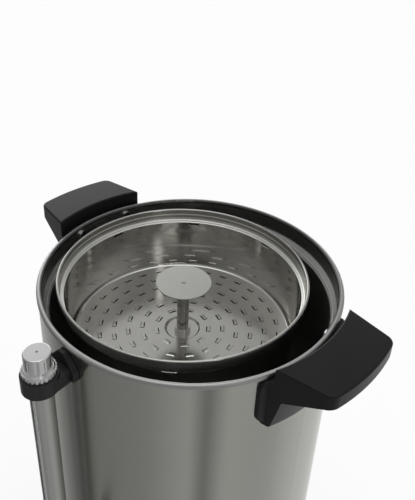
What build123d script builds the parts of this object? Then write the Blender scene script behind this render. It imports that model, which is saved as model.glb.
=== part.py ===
from build123d import *
import math
import os

os.makedirs("parts", exist_ok=True)

# A percolating coffee urn of about 15 litres, in millimetres.
# The origin is on the table under the urn's axis, +Z is up and the faucet points along -Y.

# Casing: heights are from the table and radii from the urn's axis
rim_height = 455.0
shell_radius = 134.0
shell_wall = 0.8
shell_foot_height = 58.0
tank_wall = 0.8
rim_clearance = 0.2
collar_inset = 3.7
collar_depth = 16.5
tank_inset = 8.0
step_depth = 24.0
lip_drop = 3.8
bead_crown = 2.4
tank_floor_rise = 34.0
tank_floor_fillet = 7.0
well_radius = 37.0
well_depth = 12.0
well_slope = 2.0
well_flange = 5.0
well_fillet = 2.0

# Base: a moulded skirt, closed below by a steel cover on four feet
skirt_overlap = 6.0
skirt_bottom_height = 9.0
skirt_wall = 2.4
skirt_flare = 2.8
ledge_width = 6.0
ledge_thickness = 4.0
cover_height = 10.0
cover_thickness = 1.2
cover_clearance = 0.5
foot_count = 4
foot_inset = 12.0
foot_radius = 13.0
foot_tip_radius = 11.0
foot_bore_radius = 2.3
foot_counterbore_radius = 5.0
foot_counterbore_depth = 4.0
boss_radius = 7.0
boss_hole_radius = 2.0
boss_hole_depth = 14.0

# Handles: moulded grips on the urn's two sides, each on a pad that follows the shell
wall_gap = 0.3
grip_rise = 10.3
grip_gap = 5.7
grip_reach = 47.0
grip_edge_height = 12.3
grip_lip_height = 13.8
grip_lip_width = 5.0
grip_root_drop = 18.7
grip_root_reach = 13.0
grip_half_width = 50.4
grip_taper = 0.155
grip_corner_radius = 9.0
grip_edge_radius = 1.6
leg_drop = 49.0
leg_reach = 6.8
pad_thickness = 3.0
pad_half_angle = 24.0
pad_drop = 46.5
pad_corner_radius = 8.0
pocket_half_angle = 18.0
pocket_rib_half_angle = 1.2
pocket_wall = 3.6
handle_screw_angle = 12.5
handle_screw_drop = 8.5
handle_screw_radius = 1.9
handle_screw_length = 16.0
screw_head_radius = 3.8
screw_head_height = 2.2
screw_clearance = 0.4
pilot_clearance = 0.1

# Pump: it stands loosely in the tank's well, a little off the urn's axis
pump_x = -4.9
pump_y = -5.0
standing_gap = 0.3
pump_tube_radius = 4.6
pump_tube_wall = 0.7
pump_foot_radius = 28.0
pump_foot_height = 30.0
pump_foot_wall = 1.2
pump_neck_height = 5.0
pump_skirt_height = 5.0
pump_collar_width = 2.4
pump_collar_height = 1.5
inlet_hole_radius = 2.2
inlet_hole_circle = 21.0
inlet_hole_count = 6
washer_thickness = 1.2
washer_lift = 3.0
washer_bore_gap = 0.3
foot_bore_gap = 0.05
stop_radius = 7.5
stop_height = 5.0

# Basket: the wall and the perforated floor plate, hung on the pump by a centre tube
basket_gap = 14.0
basket_sheet = 0.8
basket_roll = 2.6
basket_ledge_depth = 12.0
basket_ledge_width = 3.6
basket_ledge_rise = 1.5
basket_wall_taper = 4.2
basket_depth = 64.5
basket_fillet = 3.0
basket_flange = 8.0
floor_plate_gap = 0.2
recess_radius = 16.8
recess_depth = 2.5
recess_slope = 2.0
slot_rings = 6
slot_ring_radius = 24.5
slot_ring_step = 13.2
slot_pitch = 17.5
slot_length = 7.8
slot_width = 4.0
overflow_count = 8
overflow_azimuth = 40.0
overflow_length = 12.0
overflow_width = 2.5
overflow_drop = 2.0
tube_bore_clearance = 0.35
basket_tube_wall = 0.6
collar_ring_radius = 7.6
collar_ring_height = 5.0
basket_nut_across = 16.0
basket_nut_height = 3.0
disc_radius = 25.0
disc_thickness = 1.0
disc_drop = 11.7
rivet_radius = 2.0
rivet_height = 0.5
spray_width = 3.0
spray_height = 5.0
spray_roof = 2.5

# Faucet: on the front of the urn, a little above the tank's floor
faucet_rise = 28.0
shank_radius = 8.0
shank_clearance = 0.3
shank_inner_reach = 20.0
water_bore_radius = 5.0
nut_across = 26.0
nut_thickness = 6.0
nut_clearance = 0.1
gasket_radius = 14.0
gasket_thickness = 2.5
flange_radius = 15.0
flange_thickness = 3.5
barrel_radius = 9.5
valve_standoff = 58.0
chamber_radius = 13.0
chamber_bore_radius = 10.2
chamber_depth = 22.0
chamber_top_rise = 16.0
chamber_bottom_drop = 12.0
spout_radius = 9.5
spout_tip_radius = 8.4
spout_bore_radius = 6.2
spout_drop = 36.0
bonnet_thread_length = 8.0
bonnet_head_height = 8.0
bonnet_head_radius = 12.5
bonnet_flutes = 12
bonnet_flute_radius = 1.3
bonnet_roof = 5.0
bonnet_clearance = 0.1
stem_radius = 2.5
stem_clearance = 0.08
tongue_half_width = 2.9
tongue_radius = 3.6
seat_gap = 0.2
cup_radius = 8.0
cup_height = 7.0
cup_socket_depth = 4.0
spring_radius = 5.5
spring_wire_radius = 0.6
spring_turns = 5

# Lever: its cam lifts the stem at a steady rate as the lever tips forward
cam_rest_height = 6.0
cam_gap = 0.3
lever_travel = 40.0
stem_lift = 4.0
hub_half_width = 7.5
hub_back = 6.0
fork_clearance = 0.3
lever_pin_radius = 1.5
lever_pin_clearance = 0.05
lever_length = 48.0
lever_top_half_width = 9.0
lever_neck_half_width = 5.5
lever_thickness = 8.0
lever_lean = 5.0

# Sight gauge: a clear tube in a slotted steel guard, between the faucet and a bracket below the rim
gauge_standoff = 23.5
gauge_tube_radius = 7.9
gauge_tube_wall = 1.6
gauge_boss_radius = 12.5
gauge_boss_rise = 17.0
gauge_seat_rise = 6.0
gauge_bore_radius = 8.25
gauge_port_radius = 4.0
gauge_seal_thickness = 2.0
gauge_nut_radius = 13.5
gauge_nut_height = 9.0
guard_radius = 9.25
guard_wall = 0.8
guard_slot_width = 8.0
guard_clearance = 0.1
bracket_ring_radius = 14.5
bracket_ring_top_drop = 13.5
bracket_ring_height = 13.5
bracket_arm_top_drop = 16.0
bracket_arm_half_width = 11.0
bracket_plate_thickness = 4.5
bracket_plate_half_width = 15.0
bracket_plate_shoulder_drop = 18.0
bracket_plate_top_drop = 5.0
bracket_plate_top_half_width = 3.0
bracket_screw_offset = 6.0
bracket_screw_drop = 22.0
bracket_screw_radius = 1.5
bracket_screw_length = 9.0
bracket_screw_head_radius = 3.0
bracket_screw_head_height = 2.0
cap_top_rise = 7.0
cap_radius = 10.4
cap_flange_radius = 13.0
cap_flange_height = 5.0
cap_top_thickness = 2.5
cap_flutes = 10
cap_flute_radius = 1.6
cap_knurls = 24
cap_knurl_radius = 0.8
cap_shoulder_height = 1.2
cap_bore_clearance = 0.15
cap_gap = 0.3
vent_radius = 0.8
cap_seal_thickness = 1.5

# Heating, under the tank
heater_plate_radius = 33.0
heater_plate_thickness = 4.0
element_radius = 4.0
element_circle_radius = 23.0
element_arc = 290.0
element_azimuth = -90.0
element_gap = 0.2
element_leg = 12.0
element_pin_radius = 2.5
warming_inset = 42.0
warming_width = 24.0
warming_thickness = 5.0
thermostat_radius = 9.0
thermostat_height = 7.0
thermostat_inset = 22.0
brew_thermostat_azimuth = 205.0
warming_thermostat_azimuth = 155.0
blade_width = 6.3
blade_thickness = 0.8
blade_length = 8.0
blade_spacing = 8.0
cutout_radius = 4.5
cutout_length = 26.0
cutout_azimuth = 120.0
strap_width = 22.0
strap_thickness = 2.0
strap_end_gap = 1.0
stud_radius = 3.0
stud_tail = 6.0
stud_hole_clearance = 0.4
stud_nut_across = 10.0
stud_nut_height = 5.0

# Electrics in the base
inlet_height = 35.0
inlet_flange_width = 34.0
inlet_flange_height = 27.0
inlet_flange_thickness = 2.5
inlet_body_width = 28.0
inlet_body_height = 21.0
inlet_body_depth = 20.0
inlet_recess_width = 24.4
inlet_recess_height = 17.2
inlet_recess_depth = 16.0
inlet_corner_radius = 3.0
inlet_clearance = 0.3
pin_width = 2.0
pin_height = 4.0
pin_length = 12.0
pin_spacing = 7.0
earth_pin_rise = 4.0
pin_tail = 7.0
block_length = 42.0
block_width = 16.0
block_height = 13.0
block_screws = 4
block_inset = 46.0
switch_azimuth = -118.0
switch_height = 36.0
bezel_width = 24.0
bezel_height = 28.0
bezel_thickness = 2.0
switch_body_width = 20.0
switch_body_height = 24.0
switch_body_depth = 16.0
switch_wall = 1.6
rocker_clearance = 0.4
rocker_travel = 12.0
rocker_pivot_depth = 5.0
rocker_pin_radius = 1.25
rocker_pin_clearance = 0.05
rocker_pin_cover = 0.4
lamp_azimuth = -62.0
lamp_height = 36.0
lamp_radius = 5.0
lamp_bezel_radius = 7.5
lamp_bezel_thickness = 2.0
lamp_body_depth = 14.0
lamp_clearance = 0.2
panel_margin = 1.5
panel_depth = 8.0
wire_radius = 1.2
wire_bend = 8.0
through = 400.0

# Sizes that follow from the ones above
skirt_top_height = shell_foot_height + skirt_overlap
tank_floor_height = shell_foot_height + tank_floor_rise
foot_circle_radius = shell_radius - foot_inset
bead_outer_radius = shell_radius + rim_clearance + tank_wall
collar_radius = shell_radius - collar_inset
tank_radius = shell_radius - tank_inset
shell_inner_radius = shell_radius - shell_wall
tank_outer_radius = tank_radius + tank_wall
well_hole_radius = well_radius + well_slope + well_fillet
well_floor_height = tank_floor_height - well_depth
tank_underside = tank_floor_height - tank_wall
well_underside = well_floor_height - tank_wall
wall_radius = shell_radius + wall_gap
grip_inner_radius = bead_outer_radius + grip_gap
grip_outer_radius = shell_radius + grip_reach
basket_rim_radius = tank_radius - basket_gap
basket_mouth_radius = basket_rim_radius - basket_roll
basket_ledge_radius = basket_mouth_radius - basket_ledge_width
basket_floor_radius = basket_ledge_radius - basket_wall_taper
basket_floor_top = rim_height - basket_depth
basket_floor_under = basket_floor_top - basket_sheet
basket_tube_bore = pump_tube_radius + tube_bore_clearance
basket_tube_radius = basket_tube_bore + basket_tube_wall
recess_top = basket_floor_top - recess_depth
recess_under = recess_top - basket_sheet
disc_top = rim_height - disc_drop
pump_base = well_floor_height + standing_gap
stop_top = recess_under - basket_nut_height - standing_gap
faucet_height = tank_floor_height + faucet_rise
valve_distance = shell_radius + valve_standoff
spout_tip_height = faucet_height - spout_drop
gauge_distance = shell_radius + gauge_standoff
chamber_floor = faucet_height + chamber_top_rise - chamber_depth
chamber_top = faucet_height + chamber_top_rise
bonnet_top = chamber_top + bonnet_head_height
bonnet_pocket_top = bonnet_top - bonnet_roof
lever_pin_height = bonnet_top + cam_gap + cam_rest_height
cam_rate = stem_lift / math.radians(lever_travel)
cup_bottom = chamber_floor + seat_gap
cup_top = cup_bottom + cup_height
gauge_seat_height = faucet_height + gauge_seat_rise
gauge_tube_bottom = gauge_seat_height + gauge_seal_thickness
gauge_boss_top = faucet_height + gauge_boss_rise
bracket_ring_top = rim_height - bracket_ring_top_drop
bracket_ring_bottom = bracket_ring_top - bracket_ring_height
cap_top = rim_height + cap_top_rise
cap_bottom = bracket_ring_top + cap_gap
cap_bore_radius = gauge_tube_radius + cap_bore_clearance
cap_bore_top = cap_top - cap_top_thickness
gauge_tube_top = cap_bore_top - cap_seal_thickness - cap_gap
warming_outer_radius = tank_radius - warming_inset
warming_inner_radius = warming_outer_radius - warming_width
thermostat_circle_radius = tank_radius - thermostat_inset
block_y = shell_radius - block_inset
cover_top = cover_height + cover_thickness
heater_plate_bottom = well_underside - heater_plate_thickness
strap_top = shell_foot_height + strap_thickness
foot_azimuths = [360 / foot_count * (i + 0.5) for i in range(foot_count)]
handle_screw_azimuths = [side + tilt * handle_screw_angle for side in (0, 180) for tilt in (-1, 1)]


def section_plane(azimuth=0.0, centre=(0.0, 0.0)):
    """An upright plane through an axis: x runs outwards at the azimuth and y runs up."""
    angle = math.radians(azimuth)
    return Plane(
        origin=(centre[0], centre[1], 0),
        x_dir=(math.cos(angle), math.sin(angle), 0),
        z_dir=(math.sin(angle), -math.cos(angle), 0),
    )


def side_plane(azimuth, radius, height, centre=(0.0, 0.0)):
    """A plane facing outwards from an upright axis, at a radius and height, with y up."""
    angle = math.radians(azimuth)
    outward = (math.cos(angle), math.sin(angle), 0)
    return Plane(
        origin=(centre[0] + radius * outward[0], centre[1] + radius * outward[1], height),
        x_dir=(-outward[1], outward[0], 0),
        z_dir=outward,
    )


def drill(plane, radius, depth):
    """Cut a round hole from the plane inwards into the part being built."""
    with Locations(plane):
        Hole(radius, depth)


def round_piece(outer, bottom, height, inner=0.0, centre=(0.0, 0.0)):
    """An upright disc, or a ring where an inner radius is given."""
    with BuildPart() as piece:
        with BuildSketch(Plane.XY.offset(bottom)):
            with Locations(centre):
                Circle(outer)
                if inner > 0:
                    Circle(inner, mode=Mode.SUBTRACT)
        extrude(amount=height)
    return piece


def tipped(point, turn):
    """A point of a sketch, turned about the sketch's origin."""
    angle = math.radians(turn)
    return (
        point[0] * math.cos(angle) - point[1] * math.sin(angle),
        point[0] * math.sin(angle) + point[1] * math.cos(angle),
    )


# Outer shell: a plain tube of brushed sheet, seated in the base and held by the tank's rolled rim
shell_top = rim_height - lip_drop + tank_wall
with BuildPart() as outer_shell:
    with BuildSketch(Plane.XY.offset(shell_foot_height)):
        Circle(shell_radius)
        Circle(shell_inner_radius, mode=Mode.SUBTRACT)
    extrude(amount=shell_top - shell_foot_height)
    drill(side_plane(-90, shell_radius + 1, faucet_height), shank_radius + shank_clearance, 5 * shell_wall)
    for azimuth in handle_screw_azimuths:
        drill(
            side_plane(azimuth, shell_radius + 1, rim_height - handle_screw_drop),
            handle_screw_radius + screw_clearance,
            5 * shell_wall,
        )
    with BuildSketch(side_plane(-90, shell_radius + 1, rim_height - bracket_screw_drop)):
        with GridLocations(2 * bracket_screw_offset, 1, 2, 1):
            Circle(bracket_screw_radius + screw_clearance)
    extrude(amount=-5 * shell_wall, mode=Mode.SUBTRACT)

# Inner tank: one spun sheet, from the hole over the pump's well to the stepped collar and rolled rim
bead_mid_radius = (collar_radius + bead_outer_radius) / 2
with BuildPart() as inner_tank:
    with BuildSketch(section_plane()):
        with BuildLine():
            inside = FilletPolyline(
                (well_hole_radius, tank_floor_height),
                (tank_radius, tank_floor_height),
                (tank_radius, rim_height - step_depth),
                (collar_radius, rim_height - collar_depth),
                (collar_radius, rim_height - bead_crown),
                radius=[tank_floor_fillet, 2, 2],
            )
            roll = ThreePointArc(
                inside @ 1,
                (bead_mid_radius, rim_height),
                (bead_outer_radius, rim_height - bead_crown),
            )
            Line(roll @ 1, (bead_outer_radius, rim_height - lip_drop))
            offset(amount=tank_wall, side=Side.RIGHT)
        make_face()
    revolve(axis=Axis.Z)
    drill(side_plane(-90, shell_radius, faucet_height), shank_radius + shank_clearance, 2 * tank_inset)
    for azimuth in handle_screw_azimuths:
        with BuildSketch(side_plane(azimuth, collar_radius - 1, rim_height - handle_screw_drop)):
            Circle(handle_screw_radius + screw_clearance)
        extrude(amount=3 * tank_wall, mode=Mode.SUBTRACT)

# Tank well: a pressed cup for the pump, its flange brazed to the underside of the tank's floor
with BuildPart() as tank_well:
    with BuildSketch(section_plane()):
        with BuildLine():
            FilletPolyline(
                (0, well_floor_height),
                (well_radius, well_floor_height),
                (well_radius + well_slope, tank_underside),
                (well_hole_radius + well_flange, tank_underside),
                radius=[well_fillet, well_fillet],
            )
            offset(amount=tank_wall, side=Side.RIGHT)
        make_face()
    revolve(axis=Axis.Z)

# Base housing: a flared skirt with a ledge that carries the shell, and a boss above each foot
skirt_top_radius = wall_radius + skirt_wall
skirt_bottom_radius = skirt_top_radius + skirt_flare
ledge_inner_radius = wall_radius - ledge_width - shell_wall
ledge_bottom = shell_foot_height - ledge_thickness
boss_bottom = cover_top
panel_face = skirt_bottom_radius
with BuildPart() as base_housing:
    with BuildSketch(section_plane()):
        with BuildLine():
            Polyline(
                (wall_radius, skirt_top_height),
                (skirt_top_radius, skirt_top_height),
                (skirt_bottom_radius, skirt_bottom_height),
                (skirt_bottom_radius - skirt_wall, skirt_bottom_height),
                (wall_radius, ledge_bottom),
                (ledge_inner_radius, ledge_bottom),
                (ledge_inner_radius, shell_foot_height),
                (wall_radius, shell_foot_height),
                close=True,
            )
        make_face()
    revolve(axis=Axis.Z)
    with BuildSketch(Plane.XY.offset(boss_bottom)):
        for azimuth in foot_azimuths:
            with PolarLocations(foot_circle_radius, 1, start_angle=azimuth):
                with Locations((0, 0)):
                    Circle(boss_radius)
                    with Locations(((wall_radius + 1 - foot_circle_radius) / 2, 0)):
                        Rectangle(wall_radius + 1 - foot_circle_radius, boss_radius)
    extrude(amount=ledge_bottom + ledge_thickness / 2 - boss_bottom)
    with BuildSketch(Plane.XY.offset(boss_bottom)):
        with PolarLocations(foot_circle_radius, foot_count, start_angle=foot_azimuths[0]):
            Circle(boss_hole_radius)
    extrude(amount=boss_hole_depth, mode=Mode.SUBTRACT)
    with BuildSketch(side_plane(90, panel_face - panel_depth, inlet_height)):
        Rectangle(inlet_flange_width + 2 * panel_margin, inlet_flange_height + 2 * panel_margin)
    extrude(amount=panel_depth)
    with BuildSketch(side_plane(switch_azimuth, panel_face - panel_depth, switch_height)):
        Rectangle(bezel_width + 2 * panel_margin, bezel_height + 2 * panel_margin)
    extrude(amount=panel_depth)
    with BuildSketch(side_plane(lamp_azimuth, panel_face - panel_depth, lamp_height)):
        Circle(lamp_bezel_radius + panel_margin)
    extrude(amount=panel_depth)
    with BuildSketch(side_plane(90, ledge_inner_radius - 2, inlet_height)):
        Rectangle(inlet_body_width + 2 * inlet_clearance, inlet_body_height + 2 * inlet_clearance)
    extrude(amount=through, mode=Mode.SUBTRACT)
    with BuildSketch(side_plane(switch_azimuth, ledge_inner_radius - 2, switch_height)):
        Rectangle(switch_body_width + 2 * inlet_clearance, switch_body_height + 2 * inlet_clearance)
    extrude(amount=through, mode=Mode.SUBTRACT)
    with BuildSketch(side_plane(lamp_azimuth, ledge_inner_radius - 2, lamp_height)):
        Circle(lamp_radius + lamp_clearance)
    extrude(amount=through, mode=Mode.SUBTRACT)
    fillet(base_housing.edges().group_by(Axis.Z)[-1].sort_by(SortBy.LENGTH)[-1], radius=1.2)

# Bottom cover: a pressed disc with vent slots, screwed up to the bosses
cover_radius = skirt_bottom_radius - skirt_wall - cover_clearance
with BuildPart() as bottom_cover:
    with BuildSketch(Plane.XY.offset(cover_height)):
        Circle(cover_radius)
        with PolarLocations(foot_circle_radius, foot_count, start_angle=foot_azimuths[0]):
            Circle(foot_bore_radius, mode=Mode.SUBTRACT)
        with PolarLocations(cover_radius / 2, 8):
            SlotOverall(cover_radius / 4, 5, mode=Mode.SUBTRACT)
    extrude(amount=cover_thickness)

# Feet: four rubber pads, tapered towards the table and counterbored for their screws
with BuildPart() as feet:
    with BuildSketch(Plane.XY):
        with PolarLocations(foot_circle_radius, foot_count, start_angle=foot_azimuths[0]):
            Circle(foot_tip_radius)
    extrude(
        amount=cover_height,
        taper=-math.degrees(math.atan2(foot_radius - foot_tip_radius, cover_height)),
    )
    with BuildSketch(Plane.XY):
        with PolarLocations(foot_circle_radius, foot_count, start_angle=foot_azimuths[0]):
            Circle(foot_counterbore_radius)
    extrude(amount=foot_counterbore_depth, mode=Mode.SUBTRACT)
    with BuildSketch(Plane.XY):
        with PolarLocations(foot_circle_radius, foot_count, start_angle=foot_azimuths[0]):
            Circle(foot_bore_radius)
    extrude(amount=cover_height, mode=Mode.SUBTRACT)

# Foot screws: each holds a foot and the cover to its boss
foot_screw_radius = boss_hole_radius - pilot_clearance
foot_screw_length = cover_top - foot_counterbore_depth + boss_hole_depth - 2
with BuildPart() as foot_screws:
    with BuildSketch(Plane.XY.offset(foot_counterbore_depth - screw_head_height)):
        with PolarLocations(foot_circle_radius, foot_count, start_angle=foot_azimuths[0]):
            Circle(screw_head_radius)
    extrude(amount=screw_head_height)
    with BuildSketch(Plane.XY.offset(foot_counterbore_depth)):
        with PolarLocations(foot_circle_radius, foot_count, start_angle=foot_azimuths[0]):
            Circle(foot_screw_radius)
    extrude(amount=foot_screw_length)

# Handle pad: the flange that lies on the shell, with rounded lower corners
pad_top = rim_height - lip_drop - 0.7
pad_bottom = rim_height - pad_drop
pad_half_width = wall_radius * math.sin(math.radians(pad_half_angle))
with BuildPart() as handle_pad:
    with BuildSketch(Plane.XY.offset(pad_bottom)):
        Circle(wall_radius + pad_thickness)
        Circle(wall_radius, mode=Mode.SUBTRACT)
    extrude(amount=pad_top - pad_bottom)
    with BuildSketch(side_plane(0, 0, (pad_top + pad_bottom) / 2)) as pad_outline:
        Rectangle(2 * pad_half_width, pad_top - pad_bottom)
        fillet(pad_outline.vertices().group_by(Axis.Z)[0], radius=pad_corner_radius)
    extrude(amount=through, mode=Mode.INTERSECT)

# Right handle: a wedge turned about the urn's axis, trimmed to a tapering plan and hollow behind
grip_top = rim_height + grip_rise
leg_bottom = rim_height - leg_drop
grip_end_x = grip_outer_radius + 5
plan_start_x = wall_radius * math.cos(math.radians(pad_half_angle)) - 4
handle_turn = 2 * pad_half_angle + 2
pocket_top = rim_height - grip_root_drop + 2
profile_end_radius = grip_outer_radius + 6
profile_end_height = grip_top - grip_edge_height + 6 * (grip_lip_height - grip_edge_height) / grip_lip_width
with BuildPart() as right_handle:
    with BuildSketch(section_plane(-handle_turn / 2)):
        with BuildLine():
            FilletPolyline(
                (wall_radius, leg_bottom),
                (wall_radius + leg_reach, leg_bottom),
                (wall_radius + grip_root_reach, rim_height - grip_root_drop),
                (grip_outer_radius - grip_lip_width, grip_top - grip_lip_height),
                (profile_end_radius, profile_end_height),
                (profile_end_radius, grip_top),
                (grip_inner_radius, grip_top),
                (grip_inner_radius, pad_top),
                (wall_radius, pad_top),
                radius=[0, 3, 4, 3, 0, 0, 0, 0, 0],
                close=True,
            )
        make_face()
    revolve(axis=Axis.Z, revolution_arc=handle_turn)
    with BuildSketch(Plane.XY.offset(leg_bottom)) as grip_plan:
        with BuildLine():
            Polyline(
                (plan_start_x, -grip_half_width),
                (grip_end_x, -grip_half_width + grip_taper * (grip_end_x - plan_start_x)),
                (grip_end_x, grip_half_width - grip_taper * (grip_end_x - plan_start_x)),
                (plan_start_x, grip_half_width),
                close=True,
            )
        make_face()
        Circle(grip_outer_radius, mode=Mode.INTERSECT)
        fillet(grip_plan.vertices().group_by(Axis.X)[-1], radius=grip_corner_radius)
    extrude(amount=grip_top - leg_bottom, mode=Mode.INTERSECT)
    fillet(right_handle.edges().group_by(Axis.Z)[-1], radius=grip_edge_radius)
    add(handle_pad.part)
    for start in (-pocket_half_angle, pocket_rib_half_angle):
        with BuildSketch(section_plane(start)):
            with BuildLine():
                Polyline(
                    (wall_radius - 1, leg_bottom + pocket_wall),
                    (wall_radius + leg_reach - pocket_wall, leg_bottom + pocket_wall),
                    (wall_radius + grip_root_reach - pocket_wall - 1, rim_height - grip_root_drop - 2),
                    (wall_radius + grip_root_reach - pocket_wall - 1, pocket_top),
                    (wall_radius - 1, pocket_top),
                    close=True,
                )
            make_face()
        revolve(axis=Axis.Z, revolution_arc=pocket_half_angle - pocket_rib_half_angle, mode=Mode.SUBTRACT)
    for tilt in (-handle_screw_angle, handle_screw_angle):
        with BuildSketch(side_plane(tilt, wall_radius - 1, rim_height - handle_screw_drop)):
            Circle(handle_screw_radius + pilot_clearance)
        extrude(amount=handle_screw_length + 1, mode=Mode.SUBTRACT)

# Left handle: the same moulding, turned half round
with BuildPart() as left_handle:
    add(right_handle.part, rotation=(0, 0, 180))

# Handle screws: driven outwards from inside the collar, two to a handle
with BuildPart() as handle_screws:
    for azimuth in handle_screw_azimuths:
        with BuildSketch(side_plane(azimuth, collar_radius - 0.1, rim_height - handle_screw_drop)):
            Circle(screw_head_radius)
        extrude(amount=-screw_head_height)
        with BuildSketch(side_plane(azimuth, collar_radius - 0.1, rim_height - handle_screw_drop)):
            Circle(handle_screw_radius)
        extrude(amount=handle_screw_length)

# Heater plate under the well, with the coiled sheath of the pump heater brazed below it
heater_plate = round_piece(heater_plate_radius, heater_plate_bottom, heater_plate_thickness)

element_height = heater_plate_bottom - element_gap - element_radius
element_start = element_azimuth - element_arc / 2
with BuildPart() as pump_heater:
    with BuildSketch(section_plane(element_start)):
        with Locations((element_circle_radius, element_height)):
            Circle(element_radius)
    revolve(axis=Axis.Z, revolution_arc=element_arc)
    for azimuth in (element_start, element_start + element_arc):
        with BuildSketch(Plane.XY.offset(element_height)):
            with PolarLocations(element_circle_radius, 1, start_angle=azimuth):
                Circle(element_pin_radius)
        extrude(amount=-element_leg)

# Tie strap across the base ledge: its stud and nut pull the tank down on the shell
strap_reach = shell_inner_radius - strap_end_gap
with BuildPart() as tie_strap:
    with BuildSketch(Plane.XY.offset(shell_foot_height)) as strap_plan:
        Circle(strap_reach)
        Rectangle(2 * strap_reach, strap_width, mode=Mode.INTERSECT)
        Circle(stud_radius + stud_hole_clearance, mode=Mode.SUBTRACT)
    extrude(amount=strap_thickness)

stud_nut_top = shell_foot_height
stud_bottom = stud_nut_top - stud_nut_height - stud_tail
tie_stud = round_piece(stud_radius, stud_bottom, heater_plate_bottom - stud_bottom)

with BuildPart() as tie_nut:
    with BuildSketch(Plane.XY.offset(stud_nut_top - stud_nut_height)):
        RegularPolygon(stud_nut_across / 2, 6, major_radius=False)
        Circle(stud_radius + pilot_clearance, mode=Mode.SUBTRACT)
    extrude(amount=stud_nut_height)

# Warming element: a flat ring against the tank's floor
warming_element = round_piece(
    warming_outer_radius,
    tank_underside - warming_thickness,
    warming_thickness,
    warming_inner_radius,
)


def thermostat(azimuth):
    """A disc thermostat under the tank's floor, with two blades pointing down."""
    angle = math.radians(azimuth)
    centre = (thermostat_circle_radius * math.cos(angle), thermostat_circle_radius * math.sin(angle))
    with BuildPart() as piece:
        with BuildSketch(Plane.XY.offset(tank_underside - thermostat_height)):
            with Locations(centre):
                Circle(thermostat_radius)
        extrude(amount=thermostat_height)
        underside = Plane(
            origin=(centre[0], centre[1], tank_underside - thermostat_height),
            x_dir=(1, 0, 0),
            z_dir=(0, 0, -1),
        )
        with BuildSketch(underside):
            with GridLocations(blade_spacing, 1, 2, 1):
                Rectangle(blade_thickness, blade_width)
        extrude(amount=blade_length)
    return piece


brew_thermostat = thermostat(brew_thermostat_azimuth)
warming_thermostat = thermostat(warming_thermostat_azimuth)

# Thermal cut-out: a small cartridge lying against the tank's floor
with BuildPart() as thermal_cutout:
    with BuildSketch(
        side_plane(cutout_azimuth, thermostat_circle_radius - cutout_length / 2, tank_underside - cutout_radius - 0.1)
    ):
        Circle(cutout_radius)
    extrude(amount=cutout_length)

# Power inlet in the back of the base: a flanged housing with an open recess for the connector
flange_back = panel_face
with BuildPart() as power_inlet:
    with BuildSketch(side_plane(90, flange_back, inlet_height)):
        RectangleRounded(inlet_flange_width, inlet_flange_height, inlet_corner_radius)
    extrude(amount=inlet_flange_thickness)
    with BuildSketch(side_plane(90, flange_back, inlet_height)):
        Rectangle(inlet_body_width, inlet_body_height)
    extrude(amount=-inlet_body_depth)
    with BuildSketch(side_plane(90, flange_back + inlet_flange_thickness, inlet_height)):
        RectangleRounded(inlet_recess_width, inlet_recess_height, inlet_corner_radius)
    extrude(amount=-inlet_recess_depth, mode=Mode.SUBTRACT)
    with BuildSketch(side_plane(90, flange_back, inlet_height)):
        with Locations((-pin_spacing, 0), (0, earth_pin_rise), (pin_spacing, 0)):
            Rectangle(pin_width, pin_height)
    extrude(amount=-through, mode=Mode.SUBTRACT)

# Inlet pins: three blades, the earth pin in the middle and higher
pin_root = flange_back + inlet_flange_thickness - inlet_recess_depth
with BuildPart() as inlet_pins:
    with BuildSketch(side_plane(90, pin_root - (inlet_body_depth + inlet_flange_thickness
                                                - inlet_recess_depth) - pin_tail, inlet_height)):
        with Locations((-pin_spacing, 0), (0, earth_pin_rise), (pin_spacing, 0)):
            Rectangle(pin_width, pin_height)
    extrude(amount=pin_tail + inlet_body_depth + inlet_flange_thickness - inlet_recess_depth + pin_length)

# Terminal block on the cover, with one screw to a wire
with BuildPart() as terminal_block:
    with BuildSketch(Plane.XY.offset(cover_top)):
        with Locations((0, block_y)):
            Rectangle(block_length, block_width)
    extrude(amount=block_height)
    with BuildSketch(Plane.XY.offset(cover_top + block_height)):
        with Locations((0, block_y)):
            with GridLocations(block_length / block_screws, 1, block_screws, 1):
                Circle(block_length / block_screws / 4)
    extrude(amount=-block_height / 2, mode=Mode.SUBTRACT)

# Switch housing: a bezel on the skirt with a pocket behind it for the rocker
switch_back = panel_face
pocket_width = switch_body_width - 2 * switch_wall
pocket_height = switch_body_height - 2 * switch_wall
pivot_radius = switch_back + bezel_thickness - rocker_pivot_depth
switch_angle = math.radians(switch_azimuth)
rocker_pivot = Plane(
    origin=(pivot_radius * math.cos(switch_angle), pivot_radius * math.sin(switch_angle), switch_height),
    x_dir=(math.cos(switch_angle), math.sin(switch_angle), 0),
    z_dir=(math.sin(switch_angle), -math.cos(switch_angle), 0),
)
with BuildPart() as switch_housing:
    with BuildSketch(side_plane(switch_azimuth, switch_back, switch_height)):
        RectangleRounded(bezel_width, bezel_height, inlet_corner_radius)
    extrude(amount=bezel_thickness)
    with BuildSketch(side_plane(switch_azimuth, switch_back, switch_height)):
        Rectangle(switch_body_width, switch_body_height)
    extrude(amount=-switch_body_depth)
    with BuildSketch(side_plane(switch_azimuth, switch_back + bezel_thickness, switch_height)):
        Rectangle(pocket_width, pocket_height)
    extrude(amount=-switch_body_depth, mode=Mode.SUBTRACT)
    with BuildSketch(rocker_pivot):
        Circle(rocker_pin_radius + rocker_pin_clearance)
    extrude(amount=switch_body_width / 2 - rocker_pin_cover, both=True, mode=Mode.SUBTRACT)

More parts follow.
